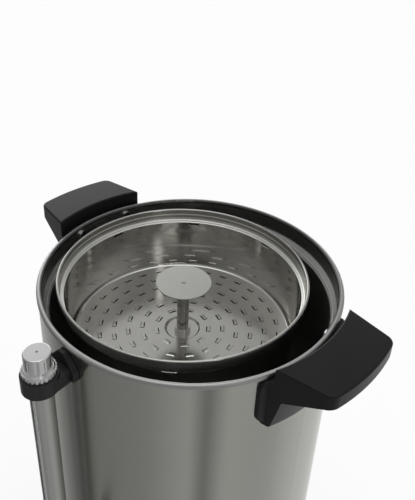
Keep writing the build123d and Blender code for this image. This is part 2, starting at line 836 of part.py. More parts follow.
# Switch rocker: a shallow V on two pivot stubs, tipped to its off position
rocker_half_width = pocket_width / 2 - rocker_clearance
rocker_half_height = pocket_height / 2 - 2 * rocker_clearance - rocker_pivot_depth * math.sin(
    math.radians(rocker_travel / 2)
)
rocker_peak = rocker_half_height * math.tan(math.radians(rocker_travel / 2))
rocker_outline = [
    (-rocker_pivot_depth / 2, -rocker_half_height / 2),
    (rocker_pivot_depth + rocker_peak, -rocker_half_height),
    (rocker_pivot_depth, 0),
    (rocker_pivot_depth + rocker_peak, rocker_half_height),
    (-rocker_pivot_depth / 2, rocker_half_height / 2),
]
with BuildPart() as switch_rocker:
    with BuildSketch(rocker_pivot):
        with BuildLine():
            Polyline(*[tipped(point, -rocker_travel / 2) for point in rocker_outline], close=True)
        make_face()
    extrude(amount=rocker_half_width, both=True)
    with BuildSketch(rocker_pivot):
        Circle(rocker_pin_radius)
    extrude(amount=switch_body_width / 2 - rocker_pin_cover - rocker_clearance / 2, both=True)

# Indicator lamp: a domed lens in a bright ring
with BuildPart() as indicator_bezel:
    with BuildSketch(side_plane(lamp_azimuth, switch_back, lamp_height)):
        Circle(lamp_bezel_radius)
        Circle(lamp_radius + lamp_clearance, mode=Mode.SUBTRACT)
    extrude(amount=lamp_bezel_thickness)

with BuildPart() as indicator_lens:
    with BuildSketch(side_plane(lamp_azimuth, switch_back - lamp_body_depth, lamp_height)):
        Circle(lamp_radius)
    extrude(amount=lamp_body_depth + lamp_bezel_thickness + 1.5)
    fillet(
        indicator_lens.faces().sort_by(Axis(
            (0, 0, lamp_height),
            (math.cos(math.radians(lamp_azimuth)), math.sin(math.radians(lamp_azimuth)), 0),
        ))[-1].edges(),
        radius=2,
    )

# Faucet body: one casting with the shank, the gauge boss, the valve chamber and the spout
valve_centre = (0, -valve_distance)
gauge_centre = (0, -gauge_distance)
shank_inner_end = tank_radius - shank_inner_reach
flange_face = shell_radius + gasket_thickness
with BuildPart() as faucet_body:
    with BuildSketch(side_plane(-90, shank_inner_end, faucet_height)):
        Circle(shank_radius)
    extrude(amount=flange_face - shank_inner_end)
    with BuildSketch(side_plane(-90, flange_face, faucet_height)):
        Circle(flange_radius)
    extrude(amount=flange_thickness)
    with BuildSketch(side_plane(-90, flange_face, faucet_height)):
        Circle(barrel_radius)
    extrude(amount=valve_distance - flange_face)
    with BuildSketch(Plane.XY.offset(faucet_height)):
        with Locations(gauge_centre):
            Circle(gauge_boss_radius)
    extrude(amount=gauge_boss_rise)
    with BuildSketch(Plane.XY.offset(faucet_height)):
        with Locations(gauge_centre):
            Circle(gauge_boss_radius)
    extrude(amount=-barrel_radius, taper=35)
    with BuildSketch(Plane.XY.offset(faucet_height - chamber_bottom_drop)):
        with Locations(valve_centre):
            Circle(chamber_radius)
    extrude(amount=chamber_bottom_drop + chamber_top_rise)
    with BuildSketch(Plane.XY.offset(spout_tip_height)) as tip:
        with Locations(valve_centre):
            Circle(spout_tip_radius)
    with BuildSketch(Plane.XY.offset(faucet_height - chamber_bottom_drop)) as root:
        with Locations(valve_centre):
            Circle(spout_radius)
    loft()
    with BuildSketch(side_plane(-90, shank_inner_end, faucet_height)):
        Circle(water_bore_radius)
    extrude(amount=valve_distance - shank_inner_end, mode=Mode.SUBTRACT)
    with BuildSketch(Plane.XY.offset(gauge_boss_top)):
        with Locations(gauge_centre):
            Circle(gauge_bore_radius)
    extrude(amount=gauge_seat_height - gauge_boss_top, mode=Mode.SUBTRACT)
    with BuildSketch(Plane.XY.offset(gauge_boss_top)):
        with Locations(gauge_centre):
            Circle(gauge_port_radius)
    extrude(amount=faucet_height - gauge_boss_top, mode=Mode.SUBTRACT)
    with BuildSketch(Plane.XY.offset(chamber_top)):
        with Locations(valve_centre):
            Circle(chamber_bore_radius)
    extrude(amount=-chamber_depth, mode=Mode.SUBTRACT)
    with BuildSketch(Plane.XY.offset(spout_tip_height)):
        with Locations(valve_centre):
            Circle(spout_bore_radius)
    extrude(amount=chamber_top - spout_tip_height, mode=Mode.SUBTRACT)

# Gaskets and the spacer: rings on the shank, each cut to the curve of the wall it lies on
with BuildPart() as faucet_gasket:
    with BuildSketch(side_plane(-90, shell_radius - 4, faucet_height)):
        Circle(gasket_radius)
        Circle(shank_radius + shank_clearance, mode=Mode.SUBTRACT)
    extrude(amount=flange_face - shell_radius + 4)
    with BuildSketch(Plane.XY.offset(faucet_height - gasket_radius)):
        Circle(shell_radius)
    extrude(amount=2 * gasket_radius, mode=Mode.SUBTRACT)

with BuildPart() as wall_spacer:
    with BuildSketch(side_plane(-90, tank_outer_radius - 3, faucet_height)):
        Circle(gasket_radius)
        Circle(shank_radius + shank_clearance, mode=Mode.SUBTRACT)
    extrude(amount=shell_radius - tank_outer_radius + 3)
    with BuildSketch(Plane.XY.offset(faucet_height - gasket_radius)):
        Circle(shell_inner_radius)
        Circle(tank_outer_radius, mode=Mode.SUBTRACT)
    extrude(amount=2 * gasket_radius, mode=Mode.INTERSECT)

nut_face = tank_radius - gasket_thickness - 1
with BuildPart() as tank_gasket:
    with BuildSketch(side_plane(-90, nut_face, faucet_height)):
        Circle(gasket_radius)
        Circle(shank_radius + shank_clearance, mode=Mode.SUBTRACT)
    extrude(amount=shell_radius - nut_face)
    with BuildSketch(Plane.XY.offset(faucet_height - gasket_radius)):
        Circle(tank_radius)
    extrude(amount=2 * gasket_radius, mode=Mode.INTERSECT)

with BuildPart() as faucet_nut:
    with BuildSketch(side_plane(-90, nut_face, faucet_height)):
        RegularPolygon(nut_across / 2, 6, major_radius=False)
        Circle(shank_radius + nut_clearance, mode=Mode.SUBTRACT)
    extrude(amount=-nut_thickness)

# Bonnet: screwed into the chamber, with a fluted head, a spring pocket and the stem's bore
with BuildPart() as faucet_bonnet:
    with BuildSketch(Plane.XY.offset(chamber_top - bonnet_thread_length)):
        with Locations(valve_centre):
            Circle(chamber_bore_radius - bonnet_clearance)
    extrude(amount=bonnet_thread_length)
    with BuildSketch(Plane.XY.offset(chamber_top)):
        with Locations(valve_centre):
            Circle(bonnet_head_radius)
            with PolarLocations(bonnet_head_radius + bonnet_flute_radius / 3, bonnet_flutes):
                Circle(bonnet_flute_radius, mode=Mode.SUBTRACT)
    extrude(amount=bonnet_head_height)
    chamfer(
        faucet_bonnet.edges().group_by(Axis.Z)[-1].filter_by(GeomType.CIRCLE).group_by(SortBy.LENGTH)[-1],
        length=0.6,
    )
    with BuildSketch(Plane.XY.offset(chamber_top - bonnet_thread_length)):
        with Locations(valve_centre):
            Circle(spring_radius + 2)
    extrude(amount=bonnet_pocket_top - chamber_top + bonnet_thread_length, mode=Mode.SUBTRACT)
    with BuildSketch(Plane.XY.offset(bonnet_top)):
        with Locations(valve_centre):
            Circle(stem_radius + stem_clearance)
    extrude(amount=-bonnet_head_height, mode=Mode.SUBTRACT)

# Valve stem: a round rod that ends in a flat tongue for the lever's pin
tongue_bottom = bonnet_top + cam_gap
with BuildPart() as valve_stem:
    with BuildSketch(Plane.XY.offset(cup_top - cup_socket_depth)):
        with Locations(valve_centre):
            Circle(stem_radius)
    extrude(amount=tongue_bottom - cup_top + cup_socket_depth)
    with BuildSketch(side_plane(0, 0, lever_pin_height)):
        with Locations((-valve_distance, 0)):
            Circle(tongue_radius)
        with Locations((-valve_distance, (tongue_bottom - lever_pin_height) / 2)):
            Rectangle(2 * tongue_radius, lever_pin_height - tongue_bottom)
    extrude(amount=tongue_half_width, both=True)
    with BuildSketch(side_plane(0, 0, lever_pin_height)):
        with Locations((-valve_distance, 0)):
            Circle(lever_pin_radius)
    extrude(amount=through, both=True, mode=Mode.SUBTRACT)

# Seat cup: the rubber plug on the stem's lower end
with BuildPart() as seat_cup:
    with BuildSketch(Plane.XY.offset(cup_bottom)):
        with Locations(valve_centre):
            Circle(cup_radius)
    extrude(amount=cup_height)
    chamfer(seat_cup.edges().group_by(Axis.Z)[0], length=0.8)
    with BuildSketch(Plane.XY.offset(cup_top)):
        with Locations(valve_centre):
            Circle(stem_radius)
    extrude(amount=-cup_socket_depth, mode=Mode.SUBTRACT)

# Valve spring: one wire coiled between the cup and the bonnet's roof
spring_bottom = cup_top + spring_wire_radius + 0.1
spring_height = bonnet_pocket_top - spring_wire_radius - 0.1 - spring_bottom
spring_plane = Plane(origin=(0, -valve_distance, spring_bottom))
with BuildPart() as valve_spring:
    with BuildLine(spring_plane):
        coil = Helix(pitch=spring_height / spring_turns, height=spring_height, radius=spring_radius)
    with BuildSketch(Plane(origin=coil @ 0, z_dir=coil % 0)):
        Circle(spring_wire_radius)
    sweep(path=coil)
print("valve spring, gap between turns:", round(spring_height / spring_turns - 2 * spring_wire_radius, 2))

# Lever pin: through the tongue and both cheeks of the lever's fork
with BuildPart() as lever_pin:
    with BuildSketch(side_plane(0, 0, lever_pin_height)):
        with Locations((-valve_distance, 0)):
            Circle(lever_pin_radius)
    extrude(amount=hub_half_width, both=True)


def cam_point(turn):
    """The cam's edge where the lever, tipped by this angle, rests on the bonnet."""
    angle = math.radians(turn)
    reach = cam_rest_height + cam_rate * angle
    forward = reach * math.sin(angle) + cam_rate * math.cos(angle)
    down = reach * math.cos(angle) - cam_rate * math.sin(angle)
    return (-valve_distance - forward, -down)


# Faucet lever: a forked hub with the cam below the pin, and a flat paddle above it
cam_points = [cam_point(lever_travel * i / 8) for i in range(9)]
paddle_back_y = -valve_distance + hub_back - 2
paddle_top_y = -valve_distance - lever_lean
with BuildPart() as faucet_lever:
    with BuildSketch(side_plane(0, 0, lever_pin_height)) as lever_side:
        with BuildLine():
            cam = Spline(*cam_points)
            front = Polyline(
                cam @ 1,
                (-valve_distance - hub_back - 1, lever_pin_radius + 3),
                (-valve_distance - hub_back, 3 * tongue_radius),
                (paddle_top_y - lever_thickness / 2, lever_length - 3),
                (paddle_top_y - lever_thickness / 2 + 2, lever_length),
                (paddle_top_y + lever_thickness / 2 - 2, lever_length),
                (paddle_top_y + lever_thickness / 2, lever_length - 3),
                (paddle_back_y, 2 * tongue_radius),
                (-valve_distance + hub_back, tongue_radius),
                (-valve_distance + hub_back, -cam_rest_height),
                cam @ 0,
            )
        make_face()
    extrude(amount=lever_top_half_width + 1, both=True)
    with BuildSketch(section_plane(0, valve_centre)) as lever_front:
        with BuildLine():
            FilletPolyline(
                (-hub_half_width, lever_pin_height - cam_rest_height - 5),
                (hub_half_width, lever_pin_height - cam_rest_height - 5),
                (hub_half_width, lever_pin_height + tongue_radius),
                (lever_neck_half_width, lever_pin_height + 4 * tongue_radius),
                (lever_top_half_width, lever_pin_height + lever_length - 8),
                (lever_top_half_width, lever_pin_height + lever_length),
                (-lever_top_half_width, lever_pin_height + lever_length),
                (-lever_top_half_width, lever_pin_height + lever_length - 8),
                (-lever_neck_half_width, lever_pin_height + 4 * tongue_radius),
                (-hub_half_width, lever_pin_height + tongue_radius),
                radius=[0, 0, 1, 12, 4, 5, 5, 4, 12, 1],
                close=True,
            )
        make_face()
    extrude(amount=through, both=True, mode=Mode.INTERSECT)
    fork_half_width = tongue_half_width + fork_clearance
    fork_top = tongue_radius + 0.8
    with BuildSketch(side_plane(0, 0, lever_pin_height)):
        with Locations((-valve_distance, fork_top - through / 2)):
            Rectangle(through, through)
    extrude(amount=fork_half_width, both=True, mode=Mode.SUBTRACT)
    with BuildSketch(side_plane(0, 0, lever_pin_height)):
        with Locations((-valve_distance, 0)):
            Circle(lever_pin_radius + lever_pin_clearance)
    extrude(amount=through, both=True, mode=Mode.SUBTRACT)

# Sight gauge: the seal, the clear tube and the nut at its lower end
gauge_seal = round_piece(
    gauge_tube_radius, gauge_seat_height, gauge_seal_thickness, gauge_port_radius, gauge_centre
)
gauge_tube = round_piece(
    gauge_tube_radius,
    gauge_tube_bottom,
    gauge_tube_top - gauge_tube_bottom,
    gauge_tube_radius - gauge_tube_wall,
    gauge_centre,
)
gauge_nut = round_piece(
    gauge_nut_radius, gauge_boss_top, gauge_nut_height, gauge_bore_radius, gauge_centre
)

# Gauge guard: a steel tube round the glass, slotted down its front, from the nut up into the bracket
guard_bottom = gauge_boss_top + gauge_nut_height
with BuildPart() as gauge_guard:
    with BuildSketch(Plane.XY.offset(guard_bottom)):
        with Locations(gauge_centre):
            Circle(guard_radius)
            Circle(guard_radius - guard_wall, mode=Mode.SUBTRACT)
        with Locations((0, -gauge_distance - guard_radius)):
            Rectangle(guard_slot_width, 2 * guard_radius, mode=Mode.SUBTRACT)
    extrude(amount=bracket_ring_top - guard_bottom)

# Gauge bracket: a ring round the guard, an arm and a pointed plate against the shell
plate_face = wall_radius + bracket_plate_thickness
with BuildPart() as gauge_bracket:
    with BuildSketch(Plane.XY.offset(bracket_ring_bottom)):
        with Locations(gauge_centre):
            Circle(bracket_ring_radius)
    extrude(amount=bracket_ring_height)
    with BuildSketch(Plane.XY.offset(bracket_ring_bottom)):
        with BuildLine():
            Polyline(
                (-bracket_arm_half_width, -wall_radius + 4),
                (bracket_arm_half_width, -wall_radius + 4),
                (bracket_ring_radius - 1, -gauge_distance + 5),
                (-bracket_ring_radius + 1, -gauge_distance + 5),
                close=True,
            )
        make_face()
    extrude(amount=rim_height - bracket_arm_top_drop - bracket_ring_bottom)
    with BuildSketch(side_plane(-90, 0, rim_height)):
        with BuildLine():
            FilletPolyline(
                (-bracket_plate_half_width, -bracket_ring_top_drop - bracket_ring_height),
                (bracket_plate_half_width, -bracket_ring_top_drop - bracket_ring_height),
                (bracket_plate_half_width, -bracket_plate_shoulder_drop),
                (bracket_plate_top_half_width, -bracket_plate_top_drop),
                (-bracket_plate_top_half_width, -bracket_plate_top_drop),
                (-bracket_plate_half_width, -bracket_plate_shoulder_drop),
                radius=[1, 1, 2, 1, 1, 2],
                close=True,
            )
        make_face()
    extrude(amount=plate_face)
    with BuildSketch(Plane.XY.offset(bracket_ring_bottom)):
        Circle(wall_radius)
    extrude(amount=through, mode=Mode.SUBTRACT)
    with BuildSketch(Plane.XY.offset(bracket_ring_bottom)):
        with Locations(gauge_centre):
            Circle(guard_radius + guard_clearance)
    extrude(amount=bracket_ring_height, mode=Mode.SUBTRACT)
    with BuildSketch(side_plane(-90, wall_radius - 3, rim_height - bracket_screw_drop)):
        with GridLocations(2 * bracket_screw_offset, 1, 2, 1):
            Circle(bracket_screw_radius + pilot_clearance)
    extrude(amount=3 + bracket_screw_length, mode=Mode.SUBTRACT)

# Bracket screws: driven outwards from between the walls
screw_seat = shell_inner_radius - 0.5
with BuildPart() as bracket_screws:
    with BuildSketch(side_plane(-90, screw_seat, rim_height - bracket_screw_drop)):
        with GridLocations(2 * bracket_screw_offset, 1, 2, 1):
            Circle(bracket_screw_head_radius)
    extrude(amount=-bracket_screw_head_height)
    with BuildSketch(side_plane(-90, screw_seat, rim_height - bracket_screw_drop)):
        with GridLocations(2 * bracket_screw_offset, 1, 2, 1):
            Circle(bracket_screw_radius)
    extrude(amount=bracket_screw_length)

# Gauge cap: a fluted cap with a knurled flange over the tube's top end, and a vent in its crown
with BuildPart() as gauge_cap:
    with BuildSketch(Plane.XY.offset(cap_bottom)):
        with Locations(gauge_centre):
            Circle(cap_flange_radius)
            with PolarLocations(cap_flange_radius + cap_knurl_radius / 3, cap_knurls):
                Circle(cap_knurl_radius, mode=Mode.SUBTRACT)
    extrude(amount=cap_flange_height)
    with BuildSketch(Plane.XY.offset(cap_bottom + cap_flange_height)):
        with Locations(gauge_centre):
            Circle(cap_flange_radius - cap_knurl_radius)
    extrude(amount=cap_shoulder_height, taper=45)
    with BuildSketch(Plane.XY.offset(cap_bottom + cap_flange_height)):
        with Locations(gauge_centre):
            Circle(cap_radius)
    extrude(amount=cap_top - cap_bottom - cap_flange_height)
    fillet(gauge_cap.edges().group_by(Axis.Z)[-1], radius=1.0)
    with BuildSketch(Plane.XY.offset(cap_bottom + cap_flange_height + cap_shoulder_height)):
        with Locations(gauge_centre):
            with PolarLocations(cap_radius + cap_flute_radius * 0.75, cap_flutes):
                Circle(cap_flute_radius)
    extrude(amount=cap_top - 2.5 - cap_bottom - cap_flange_height - cap_shoulder_height, mode=Mode.SUBTRACT)
    with BuildSketch(Plane.XY.offset(cap_bottom)):
        with Locations(gauge_centre):
            Circle(cap_bore_radius)
    extrude(amount=cap_bore_top - cap_bottom, mode=Mode.SUBTRACT)
    with BuildSketch(Plane.XY.offset(cap_bore_top)):
        with Locations(gauge_centre):
            Circle(vent_radius)
    extrude(amount=cap_top_thickness, mode=Mode.SUBTRACT)

# Cap seal: a soft washer held in the crown
cap_seal = round_piece(
    gauge_tube_radius, cap_bore_top - cap_seal_thickness, cap_seal_thickness, 2 * vent_radius, gauge_centre
)

# Pump tube: open at both ends, with a collar that carries the washer
pump_centre = (pump_x, pump_y)
pump_axis = Axis((pump_x, pump_y, 0), (0, 0, 1))
foot_plate_under = pump_base + pump_foot_height - pump_neck_height - pump_foot_wall
washer_bottom = foot_plate_under - washer_lift - washer_thickness - 0.2
pump_tube_bottom = washer_bottom - pump_collar_height
spray_bottom = disc_top - disc_thickness - spray_roof - spray_height
with BuildPart() as pump_tube:
    with BuildSketch(Plane.XY.offset(pump_tube_bottom)):
        with Locations(pump_centre):
            Circle(pump_tube_radius)
    extrude(amount=spray_bottom - pump_tube_bottom)
    with BuildSketch(Plane.XY.offset(pump_tube_bottom)):
        with Locations(pump_centre):
            Circle(pump_tube_radius + pump_collar_width)
    extrude(amount=pump_collar_height)
    with BuildSketch(Plane.XY.offset(pump_tube_bottom)):
        with Locations(pump_centre):
            Circle(pump_tube_radius - pump_tube_wall)
    extrude(amount=spray_bottom - pump_tube_bottom, mode=Mode.SUBTRACT)

# Pump foot: a flared bell over the well, with inlet holes that the washer closes from below
foot_plate_radius = inlet_hole_circle / 2 + inlet_hole_radius + 4
foot_neck_radius = pump_tube_radius + foot_bore_gap
with BuildPart() as pump_foot:
    with BuildSketch(section_plane(0, pump_centre)):
        with BuildLine():
            FilletPolyline(
                (pump_foot_radius - pump_foot_wall, pump_base),
                (pump_foot_radius - pump_foot_wall, pump_base + pump_skirt_height),
                (foot_plate_radius, foot_plate_under),
                (foot_neck_radius, foot_plate_under),
                (foot_neck_radius, foot_plate_under + pump_foot_wall + pump_neck_height),
                radius=[3, 3, 0],
            )
            offset(amount=pump_foot_wall, side=Side.RIGHT)
        make_face()
    revolve(axis=pump_axis)
    with BuildSketch(Plane.XY.offset(foot_plate_under - 1)):
        with Locations(pump_centre):
            with PolarLocations(inlet_hole_circle / 2, inlet_hole_count):
                Circle(inlet_hole_radius)
    extrude(amount=pump_foot_wall + 2, mode=Mode.SUBTRACT)

# Pump stop: the collar on the tube where the basket rests
pump_stop = round_piece(
    stop_radius, stop_top - stop_height, stop_height, pump_tube_radius + foot_bore_gap, pump_centre
)

# Check washer: loose on the tube, it rises to close the inlet holes
check_washer = round_piece(
    inlet_hole_circle / 2 + inlet_hole_radius + 1,
    washer_bottom,
    washer_thickness,
    pump_tube_radius + washer_bore_gap,
    pump_centre,
)

# Basket wall: a tapered ring of sheet with a rolled rim, a ledge, overflow slots and an inward flange
floor_seat = basket_floor_under
ledge_top = rim_height - basket_ledge_depth
roll_drop = basket_roll / 2
with BuildPart() as basket_wall:
    with BuildSketch(section_plane(0, pump_centre)):
        with BuildLine():
            inside = FilletPolyline(
                (basket_floor_radius - basket_flange, floor_seat),
                (basket_floor_radius, floor_seat),
                (basket_ledge_radius, ledge_top - basket_ledge_rise),
                (basket_mouth_radius, ledge_top),
                (basket_mouth_radius, rim_height - roll_drop),
                radius=[basket_fillet, 1, 1],
            )
            roll = ThreePointArc(
                inside @ 1,
                (basket_mouth_radius + roll_drop, rim_height),
                (basket_mouth_radius + basket_roll, rim_height - roll_drop),
            )
            Line(roll @ 1, (basket_mouth_radius + basket_roll, rim_height - 2 * roll_drop))
            offset(amount=basket_sheet, side=Side.RIGHT)
        make_face()
    revolve(axis=pump_axis)
    for i in range(overflow_count):
        azimuth = overflow_azimuth + 360 / overflow_count * i
        with BuildSketch(
            side_plane(
                azimuth,
                basket_ledge_radius - 3,
                ledge_top - basket_ledge_rise - overflow_drop,
                pump_centre,
            )
        ):
            SlotOverall(overflow_length, overflow_width)
        extrude(amount=3 * basket_sheet + 3, mode=Mode.SUBTRACT)

# Basket floor: a perforated plate on the flange, dished in the middle round the centre tube
floor_plate_radius = basket_floor_radius - basket_fillet - floor_plate_gap
with BuildPart() as basket_floor:
    with BuildSketch(section_plane(0, pump_centre)):
        with BuildLine():
            FilletPolyline(
                (basket_tube_radius + foot_bore_gap, recess_top),
                (recess_radius - recess_slope, recess_top),
                (recess_radius, basket_floor_top),
                (floor_plate_radius, basket_floor_top),
                radius=[1, 1],
            )
            offset(amount=basket_sheet, side=Side.RIGHT)
        make_face()
    revolve(axis=pump_axis)
    with BuildSketch(Plane.XY.offset(basket_floor_top)):
        with Locations(pump_centre):
            for ring in range(slot_rings):
                ring_radius = slot_ring_radius + ring * slot_ring_step
                ring_slots = round(2 * math.pi * ring_radius / slot_pitch)
                with PolarLocations(ring_radius, ring_slots, start_angle=17 * ring):
                    Rectangle(slot_width, slot_length)
    extrude(amount=-2 * basket_sheet, mode=Mode.SUBTRACT)

# Basket tube: it slides over the pump tube and has four spray windows at its upper end
tube_top = disc_top - disc_thickness
basket_tube_bottom = recess_under - basket_nut_height
with BuildPart() as basket_tube:
    with BuildSketch(Plane.XY.offset(basket_tube_bottom)):
        with Locations(pump_centre):
            Circle(basket_tube_radius)
            Circle(basket_tube_bore, mode=Mode.SUBTRACT)
    extrude(amount=tube_top - basket_tube_bottom)
    for azimuth in (0, 90):
        with BuildSketch(side_plane(azimuth, 0, spray_bottom + spray_height / 2, pump_centre)):
            Rectangle(spray_width, spray_height)
        extrude(amount=2 * basket_tube_radius, both=True, mode=Mode.SUBTRACT)

# Collar above the floor plate and nut below it
basket_collar = round_piece(
    collar_ring_radius, recess_top, collar_ring_height, basket_tube_radius + foot_bore_gap, pump_centre
)
with BuildPart() as basket_nut:
    with BuildSketch(Plane.XY.offset(basket_tube_bottom)):
        with Locations(pump_centre):
            RegularPolygon(basket_nut_across / 2, 6, major_radius=False)
            Circle(basket_tube_radius + foot_bore_gap, mode=Mode.SUBTRACT)
    extrude(amount=basket_nut_height)

# Spreader disc: a flat steel disc riveted to the tube's upper end
with BuildPart() as spreader_disc:
    with BuildSketch(Plane.XY.offset(tube_top)):
        with Locations(pump_centre):
            Circle(disc_radius)
    extrude(amount=disc_thickness)
    with BuildSketch(Plane.XY.offset(disc_top)):
        with Locations(pump_centre):
            Circle(rivet_radius)
    extrude(amount=rivet_height)


def wire(points, bends):
    """A round wire along straight runs joined by tangent arcs."""
    with BuildPart() as piece:
        with BuildLine() as route:
            path = FilletPolyline(*points, radius=bends)
        with BuildSketch(Plane(origin=path @ 0, z_dir=path % 0)):
            Circle(wire_radius)
        sweep(path=route.line)
    return piece


# Wiring: from the inlet to the block, from the block to the pump heater, and on to the switch
block_top = cover_top + block_height
screw_pitch = block_length / block_screws
pin_end = pin_root - (inlet_body_depth + inlet_flange_thickness - inlet_recess_depth) - pin_tail
leg_x = element_circle_radius * math.cos(math.radians(element_start))
leg_y = element_circle_radius * math.sin(math.radians(element_start))
leg_end = element_height - element_leg
switch_rear = switch_back - switch_body_depth
switch_x = switch_rear * math.cos(switch_angle)
switch_y = switch_rear * math.sin(switch_angle)
inlet_wire = wire(
    [
        (pin_spacing, pin_end, inlet_height),
        (pin_spacing, block_y, inlet_height),
        (screw_pitch / 2, block_y, block_top),
    ],
    [wire_bend / 2],
)
heater_wire = wire(
    [
        (-screw_pitch / 2, block_y, block_top),
        (-screw_pitch / 2, block_y, block_top + 14),
        (leg_x, leg_y, block_top + 14),
        (leg_x, leg_y, leg_end),
    ],
    [wire_bend / 2, wire_bend],
)
switch_wire = wire(
    [
        (-1.5 * screw_pitch, block_y, block_top),
        (-1.5 * screw_pitch, block_y, block_top + 10),
        (switch_x + 15 * math.cos(switch_angle + math.pi), switch_y + 15 * math.sin(switch_angle + math.pi),
         switch_height),
        (switch_x, switch_y, switch_height),
    ],
    [wire_bend / 2, wire_bend / 2],
)
with BuildPart() as wiring:
    add(inlet_wire.part)
    add(heater_wire.part)
    add(switch_wire.part)

pieces = {
    "outer_shell": outer_shell,
    "inner_tank": inner_tank,
    "tank_well": tank_well,
    "base_housing": base_housing,
    "bottom_cover": bottom_cover,
    "feet": feet,
    "foot_screws": foot_screws,
    "left_handle": left_handle,
    "right_handle": right_handle,
    "handle_screws": handle_screws,
    "heater_plate": heater_plate,
    "pump_heater": pump_heater,
    "warming_element": warming_element,
    "brew_thermostat": brew_thermostat,
    "warming_thermostat": warming_thermostat,
    "thermal_cutout": thermal_cutout,
    "tie_strap": tie_strap,
    "tie_stud": tie_stud,
    "tie_nut": tie_nut,
    "power_inlet": power_inlet,
    "inlet_pins": inlet_pins,
    "terminal_block": terminal_block,
    "wiring": wiring,
    "switch_housing": switch_housing,
    "switch_rocker": switch_rocker,
    "indicator_bezel": indicator_bezel,
    "indicator_lens": indicator_lens,
    "faucet_body": faucet_body,
    "faucet_gasket": faucet_gasket,
    "wall_spacer": wall_spacer,
    "tank_gasket": tank_gasket,
    "faucet_nut": faucet_nut,
    "faucet_bonnet": faucet_bonnet,
    "valve_stem": valve_stem,
    "seat_cup": seat_cup,
    "valve_spring": valve_spring,
    "lever_pin": lever_pin,
    "faucet_lever": faucet_lever,
    "gauge_tube": gauge_tube,
    "gauge_seal": gauge_seal,
    "gauge_nut": gauge_nut,
    "gauge_guard": gauge_guard,
    "gauge_bracket": gauge_bracket,
    "bracket_screws": bracket_screws,
    "gauge_cap": gauge_cap,
    "cap_seal": cap_seal,
    "pump_tube": pump_tube,
    "pump_foot": pump_foot,
    "pump_stop": pump_stop,
    "check_washer": check_washer,
    "basket_wall": basket_wall,
    "basket_floor": basket_floor,
    "basket_tube": basket_tube,
    "basket_collar": basket_collar,
    "basket_nut": basket_nut,
    "spreader_disc": spreader_disc,
}
for name, piece in pieces.items():
    piece.part.label = name
    export_step(piece.part, f"parts/{name}.step")
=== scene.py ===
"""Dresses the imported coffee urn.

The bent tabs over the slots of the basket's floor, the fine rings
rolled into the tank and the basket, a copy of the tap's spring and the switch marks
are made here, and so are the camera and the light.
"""

import logging
import math
from dataclasses import dataclass
from enum import Enum
from typing import Any, Iterable

import bmesh
import bpy
from mathutils import Matrix, Vector
from mathutils.bvhtree import BVHTree


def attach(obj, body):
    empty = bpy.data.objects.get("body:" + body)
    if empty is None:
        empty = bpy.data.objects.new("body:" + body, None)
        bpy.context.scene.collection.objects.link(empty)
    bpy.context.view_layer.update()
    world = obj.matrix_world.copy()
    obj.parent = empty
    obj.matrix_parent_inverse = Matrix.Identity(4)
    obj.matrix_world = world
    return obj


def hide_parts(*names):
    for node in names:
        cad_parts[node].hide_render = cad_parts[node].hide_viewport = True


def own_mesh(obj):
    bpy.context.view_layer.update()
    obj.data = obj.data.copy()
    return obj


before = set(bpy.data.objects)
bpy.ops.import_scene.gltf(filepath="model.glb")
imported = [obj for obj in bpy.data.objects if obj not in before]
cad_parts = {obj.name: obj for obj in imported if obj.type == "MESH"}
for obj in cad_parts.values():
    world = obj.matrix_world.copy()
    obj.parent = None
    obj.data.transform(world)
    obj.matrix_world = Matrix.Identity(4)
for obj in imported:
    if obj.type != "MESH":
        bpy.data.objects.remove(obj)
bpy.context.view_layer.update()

log = logging.getLogger("urn")

Colour = tuple[float, float, float]
Point = tuple[float, float, float]
Step = tuple[float, float]  # the edge and the blur of a soft step
Tones = tuple[tuple[float, float], ...]  # the place and the tone of each stop of a ramp

MM = 0.001
BASKET_AXIS = (-4.9 * MM, -5.0 * MM)
INSIDE_COLLAR = 109.75 * MM  # nearer to the basket's axis is the inside of its collar
WHITE = (1.0, 1.0, 1.0)
BLACK = (0.0, 0.0, 0.0)


def grey(tone: float) -> Colour:
    """A colour without a tint."""
    return (tone, tone, tone)


def shade(colour: Colour, times: float) -> Colour:
    """A colour made lighter or darker."""
    return tuple(min(1.0, part * times) for part in colour)


# Shader maths


